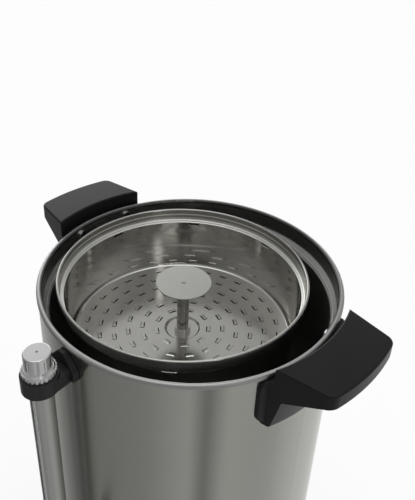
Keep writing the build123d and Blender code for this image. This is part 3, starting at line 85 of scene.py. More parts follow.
@dataclass(frozen=True)
class Value:
    """One number that changes over a surface: a socket whose sums and products add Math nodes."""

    tree: bpy.types.NodeTree
    socket: bpy.types.NodeSocket

    def _math(self, operation: str, *terms: Any) -> "Value":
        """Adds a Math node.

        Args:
            operation: the node's operation.
            terms: numbers or values, in the order of the node's sockets.

        Returns:
            The node's result.
        """
        node = self.tree.nodes.new("ShaderNodeMath")
        node.operation = operation
        for entry, term in zip(node.inputs, terms):
            if isinstance(term, Value):
                self.tree.links.new(term.socket, entry)
            else:
                entry.default_value = float(term)
        return Value(self.tree, node.outputs[0])

    def __add__(self, other: Any) -> "Value":
        """This value plus another."""
        return self._math("ADD", self, other)

    def __radd__(self, other: Any) -> "Value":
        """A number plus this value."""
        return self._math("ADD", other, self)

    def __sub__(self, other: Any) -> "Value":
        """This value less another."""
        return self._math("SUBTRACT", self, other)

    def __rsub__(self, other: Any) -> "Value":
        """A number less this value."""
        return self._math("SUBTRACT", other, self)

    def __mul__(self, other: Any) -> "Value":
        """This value times another."""
        return self._math("MULTIPLY", self, other)

    def __rmul__(self, other: Any) -> "Value":
        """A number times this value."""
        return self._math("MULTIPLY", other, self)

    def __truediv__(self, other: Any) -> "Value":
        """This value over another."""
        return self._math("DIVIDE", self, other)

    def __rtruediv__(self, other: Any) -> "Value":
        """A number over this value."""
        return self._math("DIVIDE", other, self)

    def root(self) -> "Value":
        """The square root of this value."""
        return self._math("SQRT", self)

    def held(self) -> "Value":
        """This value, kept between 0 and 1."""
        return self._math("MINIMUM", self._math("MAXIMUM", self, 0.0), 1.0)

    def bearing(self, x: "Value") -> "Value":
        """The bearing of a direction with this y: 0 towards -X, 0.25 towards -Y, 0.5 towards +X."""
        return self._math("ARCTAN2", self, x) / math.tau + 0.5

    def past(self, edge: float, blur: float) -> "Value":
        """A soft step as wide as the blur: 0 well below the edge and 1 well above it."""
        return ((self - (edge - blur / 2)) / blur).held()

    def between(self, low: float, high: float, blur: float) -> "Value":
        """A soft stretch: 1 between the two edges and 0 outside them."""
        return self.past(low, blur) * (1 - self.past(high, blur))


class Recipe:
    """The node tree of one finish while it is being mixed."""

    def __init__(self, name: str, world: bool = False) -> None:
        """Starts an empty tree.

        Args:
            name: the finish's name.
            world: whether it is the world and not a material.
        """
        self.data = (bpy.data.worlds if world else bpy.data.materials).new(name)
        self.data.use_nodes = True
        self.tree = self.data.node_tree
        self.tree.nodes.clear()

    def node(
        self,
        kind: str,
        settings: dict[str, Any] | None = None,
        sockets: dict[Any, Any] | None = None,
    ) -> bpy.types.Node:
        """Adds a node of any type.

        Args:
            kind: the node's type.
            settings: its own settings, set first; "stops" are a ramp's places and colours.
            sockets: the values or links of its sockets, by name or number.

        Returns:
            The node.
        """
        made = self.tree.nodes.new(kind)
        for name, value in (settings or {}).items():
            if name == "stops":
                self._set_stops(made.color_ramp.elements, value)
            else:
                setattr(made, name, value)
        for key, value in (sockets or {}).items():
            entry = made.inputs[key]
            if isinstance(value, Value):
                self.tree.links.new(value.socket, entry)
            elif isinstance(value, bpy.types.NodeSocket):
                self.tree.links.new(value, entry)
            elif isinstance(value, tuple) and entry.type == "RGBA":
                entry.default_value = (*value, 1.0)
            else:
                entry.default_value = value
        return made

    @staticmethod
    def _set_stops(ramp: Any, stops: list[tuple[float, Colour]]) -> None:
        """Gives a ramp its stops.

        Args:
            ramp: the stops that the ramp has, two at first.
            stops: the place and the colour of each stop.
        """
        while len(ramp) < len(stops):
            ramp.new(len(ramp) / len(stops))
        for stop, (place, colour) in zip(list(ramp), stops):
            stop.position, stop.color = place, (*colour, 1.0)

    def value(self, socket: bpy.types.NodeSocket) -> Value:
        """A socket as a value that sums can be made with."""
        return Value(self.tree, socket)

    def parts(self, vector: bpy.types.NodeSocket) -> tuple[Value, Value, Value]:
        """The x, y and z of a vector."""
        split = self.node("ShaderNodeSeparateXYZ", sockets={0: vector})
        return tuple(self.value(part) for part in split.outputs)

    def where(self) -> bpy.types.NodeSocket:
        """The point of the surface in metres, as one vector."""
        return self.node("ShaderNodeTexCoord").outputs["Object"]

    def place(self) -> tuple[Value, Value, Value]:
        """The point of the surface in metres, as x, y and z."""
        return self.parts(self.where())

    def point(self, x: Any, y: Any, z: Any) -> bpy.types.NodeSocket:
        """A vector from three values or numbers."""
        return self.node("ShaderNodeCombineXYZ", sockets={0: x, 1: y, 2: z}).outputs[0]

    def noise(
        self, at: bpy.types.NodeSocket, scale: float, detail: float = 2.0, rough: float = 0.5
    ) -> Value:
        """Soft random mottle.

        Args:
            at: the point that it is read at.
            scale: blotches to a metre, or to a unit of the point.
            detail: how many finer layers it has.
            rough: how strong they are.

        Returns:
            A value near 0.5, from about 0.2 to 0.8.
        """
        made = self.node(
            "ShaderNodeTexNoise",
            sockets={"Vector": at, "Scale": scale, "Detail": detail, "Roughness": rough},
        )
        return self.value(made.outputs["Fac"])

    def blend(self, share: Any, first: Any, second: Any) -> bpy.types.NodeSocket:
        """A colour between two colours or colour sockets: 0 gives the first and 1 the second."""
        settings = {"data_type": "RGBA", "clamp_factor": True}
        # The sockets 6 and 7 and the output 2 of a Mix node are its colours.
        return self.node("ShaderNodeMix", settings, {0: share, 6: first, 7: second}).outputs[2]

    def vary(self, share: Any, colour: Colour, swing: tuple[float, float]) -> bpy.types.NodeSocket:
        """A colour between two shades of itself, each given as a multiple of it."""
        return self.blend(share, *(shade(colour, times) for times in swing))

    def tones(self, stops: Tones, at: Value) -> bpy.types.NodeSocket:
        """A grey that is read off a row of tones."""
        greys = [(place, grey(tone)) for place, tone in stops]
        return self.node("ShaderNodeValToRGB", {"stops": greys}, {0: at}).outputs[0]

    def relief(self, height: Value, depth: float) -> bpy.types.NodeSocket:
        """The normal of the surface's own bumps, whose height times depth is in metres."""
        sockets = {"Height": height, "Distance": depth, "Strength": 1.0}
        return self.node("ShaderNodeBump", sockets=sockets).outputs[0]

    def surface(self, **sockets: Any) -> bpy.types.NodeSocket:
        """The shader of the finish, with each socket's name written with _ for a space."""
        named = {name.replace("_", " "): value for name, value in sockets.items()}
        return self.node("ShaderNodeBsdfPrincipled", sockets=named).outputs[0]

    def either(
        self, share: Value, first: bpy.types.NodeSocket, second: bpy.types.NodeSocket
    ) -> bpy.types.NodeSocket:
        """A shader between two shaders: 0 gives the first and 1 the second."""
        return self.node("ShaderNodeMixShader", sockets={0: share, 1: first, 2: second}).outputs[0]

    def seen(self) -> Value:
        """1 where the camera looks, straight or through glass, and 0 for all other light."""
        path = self.node("ShaderNodeLightPath").outputs
        return (self.value(path["Is Camera Ray"]) + self.value(path["Is Transmission Ray"])).held()

    def done(self, shader: bpy.types.NodeSocket) -> Any:
        """Joins a shader to the tree's output.

        Args:
            shader: the shader of the whole surface.

        Returns:
            The material or the world.
        """
        world = isinstance(self.data, bpy.types.World)
        kind = "ShaderNodeOutputWorld" if world else "ShaderNodeOutputMaterial"
        self.node(kind, sockets={"Surface": shader})
        return self.data


# Finishes


class Grain(Enum):
    """The way the fine lines of a metal run."""

    LEVEL = "level round the urn"
    UPRIGHT = "up the piece"
    ROLLED = "straight across a flat plate"


@dataclass(frozen=True)
class PaintedLightBand:
    """A level stretch of a round piece with its own roughness and with light and shade painted into
    its colour.

    Attributes:
        bottom: the height that it starts at.
        top: the height that it ends at.
        colour: its colour, painted lighter for light and darker for shade on the stretch.
        roughness: its roughness.
        reach: how far from the axis it ends, where it is only on the inside of the piece.
        centre: the axis that the reach is measured from.
        blur: how soft its bottom and top are.
        side_blur: how soft its end at the reach is.
    """

    bottom: float
    top: float
    colour: Colour
    roughness: float
    reach: float = math.inf
    centre: tuple[float, float] = (0.0, 0.0)
    blur: float = 0.6 * MM
    side_blur: float = 0.3 * MM

    def share(self, place: tuple[Value, Value, Value]) -> Value:
        """Finds how far a point belongs to the stretch.

        Args:
            place: the point's x, y and z.

        Returns:
            1 inside the stretch and 0 outside it, or farther than the reach from its axis.
        """
        inside = place[2].between(self.bottom, self.top, self.blur)
        if math.isinf(self.reach):
            return inside
        across, along = place[0] - self.centre[0], place[1] - self.centre[1]
        away = (across * across + along * along).root()
        return inside * (1 - away.past(self.reach, self.side_blur))


@dataclass(frozen=True)
class Metal:
    """Bare or plated metal with fine grain, slow streaks and faint handling marks.

    Attributes:
        name: the material's name.
        colour: its colour.
        roughness: its roughness.
        grain: the way that its lines run.
        pitch: the width of a line.
        contrast: how strongly the lines and streaks show.
        stain: how strongly the handling marks show.
        depth: how deep the lines are.
        lengthwise: how far highlights are drawn out.
        turn: the way that they are drawn out, in turns.
        wave: how deep the slow waves of thin sheet are.
        bands: level stretches with their own roughness and with light and shade painted into their
            colour.
        swing: the darkest and the lightest shade, as multiples of the colour.
        run: lines to a metre along the grain.
        streak: streaks to a line.
        streak_share: how strong the streaks are beside the lines.
        marks: handling marks to a metre.
        waves: slow waves to a metre.
    """

    name: str
    colour: Colour
    roughness: float
    grain: Grain
    pitch: float
    contrast: float
    stain: float
    depth: float = 0.004 * MM
    lengthwise: float = 0.0
    turn: float = 0.25
    wave: float = 0.0
    bands: tuple[PaintedLightBand, ...] = ()
    swing: tuple[float, float] = (0.7, 1.3)
    run: float = 5.0
    streak: float = 0.04
    streak_share: float = 0.6
    marks: float = 16.0
    waves: float = 18.0

    def lines(self, recipe: Recipe, place: tuple[Value, Value, Value]) -> bpy.types.NodeSocket:
        """The point that the grain is read at, drawn out along its lines.

        Args:
            recipe: the tree being mixed.
            place: the point of the surface.

        Returns:
            The point, one unit to a line.
        """
        x, y, z = place
        fine, slow = 1 / self.pitch, self.run
        match self.grain:
            case Grain.LEVEL:
                return recipe.point(x * slow, y * slow, z * fine)
            case Grain.UPRIGHT:
                return recipe.point(x * fine, y * fine, z * slow)
            case Grain.ROLLED:
                return recipe.point(x * slow, y * fine, z * fine)

    def mix(self) -> bpy.types.Material:
        """Mixes the finish.

        Returns:
            The material.
        """
        recipe = Recipe(self.name)
        where, place = recipe.where(), recipe.place()
        lines = self.lines(recipe, place)
        fine = recipe.noise(lines, 1.0, detail=3.0, rough=0.6) - 0.5
        broad = recipe.noise(lines, self.streak) - 0.5
        marks = recipe.noise(where, self.marks, detail=4.0, rough=0.6) - 0.5
        waves = recipe.noise(where, self.waves, detail=1.0)
        streaks = broad * (self.contrast * self.streak_share)
        tone = 0.5 + fine * self.contrast + streaks + marks * self.stain
        colour, roughness = recipe.vary(tone, self.colour, self.swing), self.roughness
        # Each band paints light or shade into the colour over its stretch and sets its own
        # roughness.
        for painted_band in self.bands:
            share = painted_band.share(place)
            colour = recipe.blend(share, colour, recipe.vary(tone, painted_band.colour, self.swing))
            roughness = roughness + share * (painted_band.roughness - self.roughness)
        return recipe.done(
            recipe.surface(
                Base_Color=colour,
                Metallic=1.0,
                Roughness=roughness * (1 + fine * self.contrast + marks * self.stain),
                Anisotropic=self.lengthwise,
                Anisotropic_Rotation=self.turn,
                Normal=recipe.relief(fine * self.depth + waves * self.wave, 1.0),
            )
        )


@dataclass(frozen=True)
class Moulding:
    """Moulded plastic or rubber with a fine sparkle and a trace of dust.

    Attributes:
        name: the material's name.
        colour: its colour.
        roughness: its roughness.
        grain_size: the size of a speck of the moulded grain.
        depth: how deep the grain is.
        dust: how strongly clouds of dust show.
        shine: its specular level.
        sparkle: how strongly the specks show.
        ground: where its colour stands between its darkest and its lightest shade.
        swing: those shades, as multiples of the colour.
        clouds: clouds of dust to a metre.
        cloud_rough: how much rougher a cloud is.
        speck_rough: how much rougher a speck is.
    """

    name: str
    colour: Colour
    roughness: float
    grain_size: float = 0.45 * MM
    depth: float = 0.02 * MM
    dust: float = 0.15
    shine: float = 0.5
    sparkle: float = 0.5
    ground: float = 0.3
    swing: tuple[float, float] = (0.8, 1.6)
    clouds: float = 22.0
    cloud_rough: float = 0.14
    speck_rough: float = 0.1

    def mix(self) -> bpy.types.Material:
        """Mixes the finish.

        Returns:
            The material.
        """
        recipe = Recipe(self.name)
        where = recipe.where()
        grain = recipe.noise(where, 1 / self.grain_size, rough=0.6)
        speck = grain - 0.5
        cloud = recipe.noise(where, self.clouds, detail=3.0, rough=0.6) - 0.5
        tone = cloud * (2 * self.dust) + speck * self.sparkle + self.ground
        return recipe.done(
            recipe.surface(
                Base_Color=recipe.vary(tone, self.colour, self.swing),
                Roughness=self.roughness + cloud * self.cloud_rough + speck * self.speck_rough,
                Specular_IOR_Level=self.shine,
                Normal=recipe.relief(grain, self.depth),
            )
        )


@dataclass(frozen=True)
class Glass:
    """Clear tube or lamp lens, a little tinted, with faint drawing lines.

    Attributes:
        name: the material's name.
        colour: its tint.
        roughness: its roughness.
        clear: how clear it is.
        bend: its index of refraction.
        lines: drawing lines to a metre, across them.
        run: drawing lines to a metre, along them.
        swing: the darkest and the lightest shade, as multiples of the tint.
        line_rough: how much rougher a line is.
    """

    name: str
    colour: Colour
    roughness: float = 0.03
    clear: float = 1.0
    bend: float = 1.47
    lines: float = 260.0
    run: float = 3.0
    swing: tuple[float, float] = (0.94, 1.05)
    line_rough: float = 0.04

    def mix(self) -> bpy.types.Material:
        """Mixes the finish.

        Returns:
            The material.
        """
        recipe = Recipe(self.name)
        x, y, z = recipe.place()
        drawn = recipe.noise(recipe.point(x * self.lines, y * self.lines, z * self.run), 1.0)
        return recipe.done(
            recipe.surface(
                Base_Color=recipe.vary(drawn, self.colour, self.swing),
                Roughness=self.roughness + (drawn - 0.5) * self.line_rough,
                Transmission_Weight=self.clear,
                IOR=self.bend,
            )
        )


class Finish(Enum):
    """Every finish on the urn."""

    DRUM = Metal(
        "brushed_drum", (0.505, 0.505, 0.465), 0.20, Grain.LEVEL,
        pitch=0.3 * MM, contrast=0.10, stain=0.06, depth=0.001 * MM, lengthwise=0.8,
    )
    GUARD = Metal(
        "satin_guard", (0.56, 0.57, 0.54), 0.42, Grain.UPRIGHT,
        pitch=0.4 * MM, contrast=0.10, stain=0.08, depth=0.001 * MM,
    )
    TANK = Metal(
        "drawn_tank", (0.58, 0.58, 0.56), 0.34, Grain.LEVEL,
        pitch=0.5 * MM, contrast=0.12, stain=0.12, depth=0.002 * MM,
        bands=(
            # Painted highlight: the sloping shoulder is painted much lighter where it catches the
            # light from above, and is rougher.
            PaintedLightBand(430.5 * MM, 439.5 * MM, (0.86, 0.86, 0.84), 0.62),
            # Painted light: a dimmer, smoother line is painted over the shoulder's bead.
            PaintedLightBand(433.0 * MM, 434.2 * MM, (0.70, 0.70, 0.68), 0.40),
            # Painted shade: the rim's bead is painted darker to dim its highlight, and is rougher.
            PaintedLightBand(451.5 * MM, 456.0 * MM, (0.45, 0.45, 0.44), 0.40),
            # Painted shade: the inside of the rim is painted near black, as the shadowed gap to the
            # basket.
            PaintedLightBand(451.5 * MM, 456.0 * MM, (0.12, 0.12, 0.118), 0.36, reach=131.9 * MM),
        ),
    )
    BASKET = Metal(
        "bright_pressing", (0.575, 0.57, 0.543), 0.09, Grain.LEVEL,
        pitch=0.6 * MM, contrast=0.30, stain=0.36, depth=0.0005 * MM, wave=0.16 * MM,
        bands=(
            # Painted shade: the collar is painted dark where it stands in the shadowed gap to the
            # tank, and is rougher.
            PaintedLightBand(441.2 * MM, 453.5 * MM, (0.22, 0.22, 0.21), 0.25),
            # Painted shade: the rolled rim is painted a little darker, and is rougher.
            PaintedLightBand(453.5 * MM, 456.0 * MM, (0.46, 0.455, 0.43), 0.14),
            # Painted shade: the inside of the collar is painted darker.
            PaintedLightBand(441.2 * MM, 453.5 * MM, (0.37, 0.365, 0.345), 0.14, INSIDE_COLLAR, BASKET_AXIS),
            # Painted highlight: the foot of the collar's inside, by the fillet and the ledge, is
            # painted light.
            PaintedLightBand(441.2 * MM, 446.0 * MM, (0.70, 0.695, 0.665), 0.10, INSIDE_COLLAR, BASKET_AXIS),
            # Painted highlight: a light line is painted over the collar's rolled bead.
            PaintedLightBand(448.2 * MM, 449.8 * MM, (0.66, 0.655, 0.625), 0.14, INSIDE_COLLAR, BASKET_AXIS),
        ),
    )
    PLATE = Metal(
        "bright_plate", (0.60, 0.595, 0.563), 0.19, Grain.ROLLED,
        pitch=0.5 * MM, contrast=0.24, stain=0.45, depth=0.0005 * MM, wave=0.09 * MM,
    )
    DISC = Metal(
        "satin_disc", (0.49, 0.495, 0.46), 0.34, Grain.ROLLED,
        pitch=0.4 * MM, contrast=0.10, stain=0.10, depth=0.002 * MM,
    )
    TUBE = Metal(
        "drawn_tube", (0.35, 0.345, 0.33), 0.20, Grain.UPRIGHT,
        pitch=0.5 * MM, contrast=0.2, stain=0.15,
    )
    TURNED = Metal(
        "turned_steel", (0.56, 0.555, 0.54), 0.24, Grain.LEVEL,
        pitch=0.3 * MM, contrast=0.2, stain=0.15,
    )
    PLATED = Metal(
        "plated_steel", (0.55, 0.55, 0.54), 0.30, Grain.ROLLED,
        pitch=0.5 * MM, contrast=0.15, stain=0.2,
    )
    CHROME = Metal(
        "satin_chrome", (0.79, 0.79, 0.78), 0.22, Grain.LEVEL,
        pitch=0.6 * MM, contrast=0.08, stain=0.10,
    )
    CAST = Metal(
        "cast_aluminium", (0.60, 0.60, 0.60), 0.5, Grain.ROLLED,
        pitch=1.2 * MM, contrast=0.2, stain=0.4, depth=0.05 * MM,
    )
    SHEATH = Metal(
        "tinted_sheath", (0.36, 0.32, 0.28), 0.38, Grain.LEVEL,
        pitch=1.5 * MM, contrast=0.5, stain=0.8,
    )
    PIN = Metal(
        "nickel_pin", (0.66, 0.62, 0.52), 0.24, Grain.ROLLED,
        pitch=0.4 * MM, contrast=0.2, stain=0.2,
    )
    GRIP = Moulding("grained_black", (0.0067, 0.0070, 0.0070), 0.33, dust=0.1, shine=0.21)
    CLAMP = Moulding("clamp_black", (0.0105, 0.0108, 0.0108), 0.34, dust=0.1, shine=0.34)
    SKIRT = Moulding(
        "skirt_black", (0.0075, 0.0077, 0.0078), 0.33, grain_size=0.6 * MM, dust=0.1, shine=0.25
    )
    GLOSS = Moulding(
        "smooth_black", (0.010, 0.010, 0.0105), 0.22, grain_size=0.3 * MM, depth=0.004 * MM
    )
    BLOCK = Moulding("terminal_cream", (0.62, 0.56, 0.44), 0.5)
    WIRE = Moulding("wire_sleeve", (0.06, 0.06, 0.065), 0.5, grain_size=0.8 * MM)
    RUBBER = Moulding(
        "soft_black", (0.018, 0.018, 0.019), 0.72, grain_size=0.5 * MM, depth=0.03 * MM, dust=0.4
    )
    SILICONE = Moulding(
        "pale_silicone", (0.42, 0.41, 0.39), 0.55, grain_size=0.7 * MM, depth=0.01 * MM
    )
    MARK = Moulding("mark_white", (0.78, 0.78, 0.77), 0.5)
    GAUGE = Glass("gauge_glass", (0.86, 0.89, 0.87))
    LENS = Glass("amber_lens", (0.86, 0.34, 0.05), roughness=0.18, clear=0.55)

    def material(self) -> bpy.types.Material:
        """The finish as a material, mixed once."""
        return bpy.data.materials.get(self.value.name) or self.value.mix()


def dress(finish: Finish, *nodes: str) -> None:
    """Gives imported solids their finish.

    Args:
        finish: the finish.
        nodes: the names of the solids.
    """
    for name in nodes:
        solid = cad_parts[name]
        solid.data.materials.clear()
        solid.data.materials.append(finish.material())
        for face in solid.data.polygons:
            face.material_index = 0
        log.info("%s: %s", name, finish.value.name)


# Forming


class Blank:
    """A mesh on the bench, formed by operators and then finished as one piece."""

    def __init__(self, name: str) -> None:
        """Starts with nothing on the bench."""
        self.name = name
        self.mesh = bmesh.new()

    def grid(self, cells: int, width: float, depth: float) -> list[bmesh.types.BMVert]:
        """Lays a flat sheet in the XY plane about the origin.

        Args:
            cells: faces along each side.
            width: size along X.
            depth: size along Y.

        Returns:
            The sheet's corners.
        """
        size = Matrix.Diagonal((width, depth, 1.0, 1.0))
        made = bmesh.ops.create_grid(
            self.mesh, x_segments=cells, y_segments=cells, size=0.5, matrix=size
        )
        return made["verts"]

    def ring(self, outline: Iterable[tuple[float, float]], at: Matrix, steps: int = 128) -> None:
        """Spins a closed outline about the Z axis.

        Args:
            outline: radius and height of each corner.
            at: where the ring goes.
            steps: faces round the ring.
        """
        before = set(self.mesh.verts)
        corners = [self.mesh.verts.new((radius, 0.0, height)) for radius, height in outline]
        edges = [self.mesh.edges.new(pair) for pair in zip(corners, corners[1:] + corners[:1])]
        bmesh.ops.spin(
            self.mesh,
            geom=corners + edges,
            axis=(0, 0, 1),
            cent=(0, 0, 0),
            steps=steps,
            angle=math.tau,
            use_merge=True,
        )
        made = [vert for vert in self.mesh.verts if vert not in before]
        bmesh.ops.transform(self.mesh, matrix=at, verts=made)

    def block(self, width: float, depth: float, height: float, edge: float, at: Matrix) -> None:
        """Adds a block with rounded edges.

        Args:
            width: size along X.
            depth: size along Y.
            height: size along Z.
            edge: radius of its edges.
            at: where it goes.
        """
        size = Matrix.Diagonal((width, depth, height, 1.0))
        made = bmesh.ops.create_cube(self.mesh, size=1.0, matrix=at @ size)["verts"]
        bmesh.ops.bevel(
            self.mesh,
            geom=list({line for vert in made for line in vert.link_edges}),
            offset=edge,
            offset_type="OFFSET",
            segments=3,
            profile=0.5,
            affect="EDGES",
            material=-1,
            clamp_overlap=True,
        )

    def finish(
        self, body: str, slot: str, finish: Finish, crease: float = 35.0
    ) -> bpy.types.Object:
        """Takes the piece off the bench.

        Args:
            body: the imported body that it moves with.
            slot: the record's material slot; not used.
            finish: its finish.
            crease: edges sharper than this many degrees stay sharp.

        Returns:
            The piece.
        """
        bmesh.ops.remove_doubles(self.mesh, verts=self.mesh.verts, dist=1e-7)
        bmesh.ops.recalc_face_normals(self.mesh, faces=self.mesh.faces)
        for edge in self.mesh.edges:
            edge.smooth = edge.calc_face_angle(0.0) < math.radians(crease)
        for face in self.mesh.faces:
            face.smooth = True
        data = bpy.data.meshes.new(self.name)
        self.mesh.to_mesh(data)
        self.mesh.free()
        data.materials.append(finish.material())
        piece = bpy.data.objects.new(self.name, data)
        bpy.context.scene.collection.objects.link(piece)
        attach(piece, body)
        log.info("%s: %d faces on %s", self.name, len(data.polygons), body)
        return piece


def skin(node: str) -> BVHTree:
    """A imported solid's surface, for finding where a ray meets it."""
    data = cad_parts[node].data
    return BVHTree.FromPolygons(
        [vert.co for vert in data.vertices], [face.vertices for face in data.polygons]
    )


# Sub-assemblies

# The section of a fine rolled bead: points across it and out of the sheet that it is sunk in.
BEAD = tuple(
    (across * MM, out * MM)
    for across, out in (
        (-0.8, -0.2), (-0.6, 0.05), (-0.3, 0.25), (0.0, 0.32),
        (0.3, 0.25), (0.6, 0.05), (0.8, -0.2),
    )
)


@dataclass
class Casing:
    """The drum with its grips, the tank inside it, the moulded skirt and what is under them.

    Attributes:
        bead_radius: from the tank's axis to the middle of its shoulder's bead.
        bead_height: height of the bead's middle.
        bead_lean: degrees that the bead is leant over, to stand on the sloping shoulder.
    """

    bead_radius: float = 127.5 * MM
    bead_height: float = 433.6 * MM
    bead_lean: float = 60.3

    def bead(self) -> bpy.types.Object:
        """Rolls the fine bead round the tank's sloping shoulder.

        Returns:
            The piece.
        """
        blank = Blank("shoulder_bead")
        lean = Matrix.Rotation(math.radians(self.bead_lean), 2)
        section = [lean @ Vector(point) for point in BEAD]
        outline = [(self.bead_radius + out, self.bead_height + up) for out, up in section]
        blank.ring(outline, Matrix.Identity(4))
        return blank.finish("urn", "tank_steel", Finish.TANK)

    def build(self) -> None:
        """Dresses the casing's solids and rolls the tank's bead."""
        dress(Finish.DRUM, "outer_shell")
        dress(Finish.TANK, "inner_tank", "tank_well")
        dress(Finish.SKIRT, "base_housing")
        dress(Finish.PLATED, "bottom_cover", "tie_strap")
        dress(Finish.RUBBER, "feet")
        dress(Finish.TURNED, "foot_screws", "tie_stud", "tie_nut")
        dress(Finish.CHROME, "handle_screws")
        dress(Finish.GRIP, "left_handle", "right_handle")
        self.bead()


@dataclass
class Basket:
    """The perforated basket on the pump, with a bent tab over every slot of its floor.

    Attributes:
        centre: the basket's axis.
        floor_top: height of the floor's upper face.
        rings: rings of slots.
        first_ring: radius of the innermost.
        ring_step: from ring to ring.
        pitch: from slot to slot round a ring.
        ring_turn: degrees that each ring is turned on from the last.
        slot_width: width of a slot, away from the axis.
        tab_length: length of a tab, round the ring.
        tab_width: from the slot's outer edge to its free edge.
        tab_root: how far its root reaches over the slot's outer edge.
        tab_rise: how far it stands up.
        tab_bend: the share of its width that is bent.
        tab_sink: how far its root is sunk in the floor.
        tab_crown: how far its free edge bulges up.
        tab_horn: how far its free corners are drawn out towards the axis.
        tab_skew: how unevenly, as a share of that.
        tab_cells: faces along each side of a tab.
        tab_crease: degrees at which a tab's edges stay sharp.
        sheet: thickness of the tabs.
        collar_radius: radius inside the collar.
        bead_height: height of the middle of the collar's bead.
        ledge_height: height of the ledge that the collar stands on.
        fillet: radius between the collar and the ledge.
        fillet_steps: faces round the fillet.
        fillet_back: its corners that are sunk in the sheet, from where collar and ledge meet.
    """

    centre: tuple[float, float] = BASKET_AXIS
    floor_top: float = 390.5 * MM
    rings: int = 6
    first_ring: float = 24.5 * MM
    ring_step: float = 13.2 * MM
    pitch: float = 17.5 * MM
    ring_turn: float = 17.0
    slot_width: float = 4.0 * MM
    tab_length: float = 7.1 * MM
    tab_width: float = 2.9 * MM
    tab_root: float = 0.15 * MM
    tab_rise: float = 0.5 * MM
    tab_bend: float = 0.35
    tab_sink: float = 0.05 * MM
    tab_crown: float = 0.12 * MM
    tab_horn: float = 0.75 * MM
    tab_skew: float = 0.3
    tab_cells: int = 4
    tab_crease: float = 50.0
    sheet: float = 0.5 * MM
    collar_radius: float = 109.4 * MM
    bead_height: float = 449.0 * MM
    ledge_height: float = 442.6 * MM
    fillet: float = 2.2 * MM
    fillet_steps: int = 12
    fillet_back: tuple[tuple[float, float], ...] = (
        (0.2 * MM, 2.3 * MM), (0.1 * MM, 0.3 * MM),
        (-0.4 * MM, -0.05 * MM), (-2.2 * MM, -0.25 * MM),
    )

    def roll_collar(self) -> bpy.types.Object:
        """Rolls the bead round the collar's inside and the fillet between collar and ledge.

        Returns:
            The piece.
        """
        blank = Blank("collar_rings")
        at = Matrix.Translation((*self.centre, 0.0))
        bead = [(self.collar_radius - out, self.bead_height + across) for across, out in BEAD]
        blank.ring(bead, at)
        turns = [math.tau / 4 * step / self.fillet_steps for step in range(self.fillet_steps + 1)]
        hollow = [
            (self.fillet * (math.sin(turn) - 1), self.fillet * (1 - math.cos(turn)))
            for turn in turns
        ]
        corners = (*hollow, *self.fillet_back)
        blank.ring([(self.collar_radius + out, self.ledge_height + up) for out, up in corners], at)
        return blank.finish("basket", "basket_steel", Finish.BASKET)

    def tabs(self) -> bpy.types.Object:
        """Bends the floor's tabs up, each free towards the basket's axis.

        Returns:
            The piece.
        """
        blank = Blank("floor_tabs")
        middle = Matrix.Translation((*self.centre, self.floor_top))
        for ring in range(self.rings):
            radius = self.first_ring + ring * self.ring_step
            out = Matrix.Translation((radius, 0.0, 0.0))
            count = round(math.tau * radius / self.pitch)
            for index in range(count):
                turn = math.radians(self.ring_turn * ring + 360 / count * index)
                self.tab(blank, middle @ Matrix.Rotation(turn, 4, "Z") @ out)
        bmesh.ops.recalc_face_normals(blank.mesh, faces=blank.mesh.faces)
        bmesh.ops.solidify(blank.mesh, geom=blank.mesh.faces[:], thickness=self.sheet)
        return blank.finish("basket", "basket_steel", Finish.PLATE, self.tab_crease)

    def tab(self, blank: Blank, at: Matrix) -> None:
        """Bends one tab up from its slot's outer edge.

        Args:
            blank: the mesh on the bench.
            at: the middle of its slot, X away from the basket's axis.
        """
        whole = self.tab_width + self.tab_root
        corners = blank.grid(self.tab_cells, whole, self.tab_length)
        for vert in corners:
            free = max(0.0, 0.5 - vert.co.x / whole)  # 0 at the root and 1 at the free edge
            side = 2 * vert.co.y / self.tab_length  # -1 and 1 at the two ends
            bent = 1 - max(0.0, 1 - free / self.tab_bend) ** 2
            crown = self.tab_crown * free * (1 - side**2)
            end = max(0.0, 2 * abs(side) - 1)
            horn = self.tab_horn * free * end * (1 + self.tab_skew * side)
            vert.co.x += self.slot_width / 2 + self.tab_root - whole / 2 - horn
            vert.co.z = self.tab_rise * bent - self.tab_sink + crown
        bmesh.ops.transform(blank.mesh, matrix=at, verts=corners)

    def build(self) -> None:
        """Dresses the basket and the pump, bends the tabs and rolls the collar's rings."""
        dress(Finish.BASKET, "basket_wall")
        dress(Finish.PLATE, "basket_floor")
        dress(Finish.TUBE, "basket_tube", "pump_tube")
        dress(Finish.TURNED, "basket_collar", "basket_nut")
        dress(Finish.TURNED, "pump_stop", "check_washer", "pump_foot")
        dress(Finish.DISC, "spreader_disc")
        self.tabs()
        self.roll_collar()


@dataclass
class Faucet:
    """The tap on the front: casting, bonnet, spring-loaded stem and lever.

    Attributes:
        spring_travel: how far the spring closes up as the lever goes to its limit; not used.
    """

    spring_travel: float = 4.1 * MM

    def spring(self) -> bpy.types.Object:
        """Copies the coiled spring, which closes up against the bonnet as the lever lifts the cup;
        the copy keeps its shape.

        Returns:
            The piece.
        """
        blank = Blank("closing_spring")
        blank.mesh.from_mesh(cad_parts["valve_spring"].data)
        piece = blank.finish("urn", "fastener_steel", Finish.TURNED)
        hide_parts("valve_spring")
        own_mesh(piece)
        return piece

    def build(self) -> None:
        """Dresses the tap's solids and copies its spring."""
        dress(Finish.CHROME, "faucet_body", "faucet_nut")
        dress(Finish.GRIP, "faucet_bonnet", "faucet_lever", "wall_spacer")
        dress(Finish.TURNED, "valve_stem", "lever_pin")
        dress(Finish.SILICONE, "seat_cup", "faucet_gasket", "tank_gasket")
        self.spring()


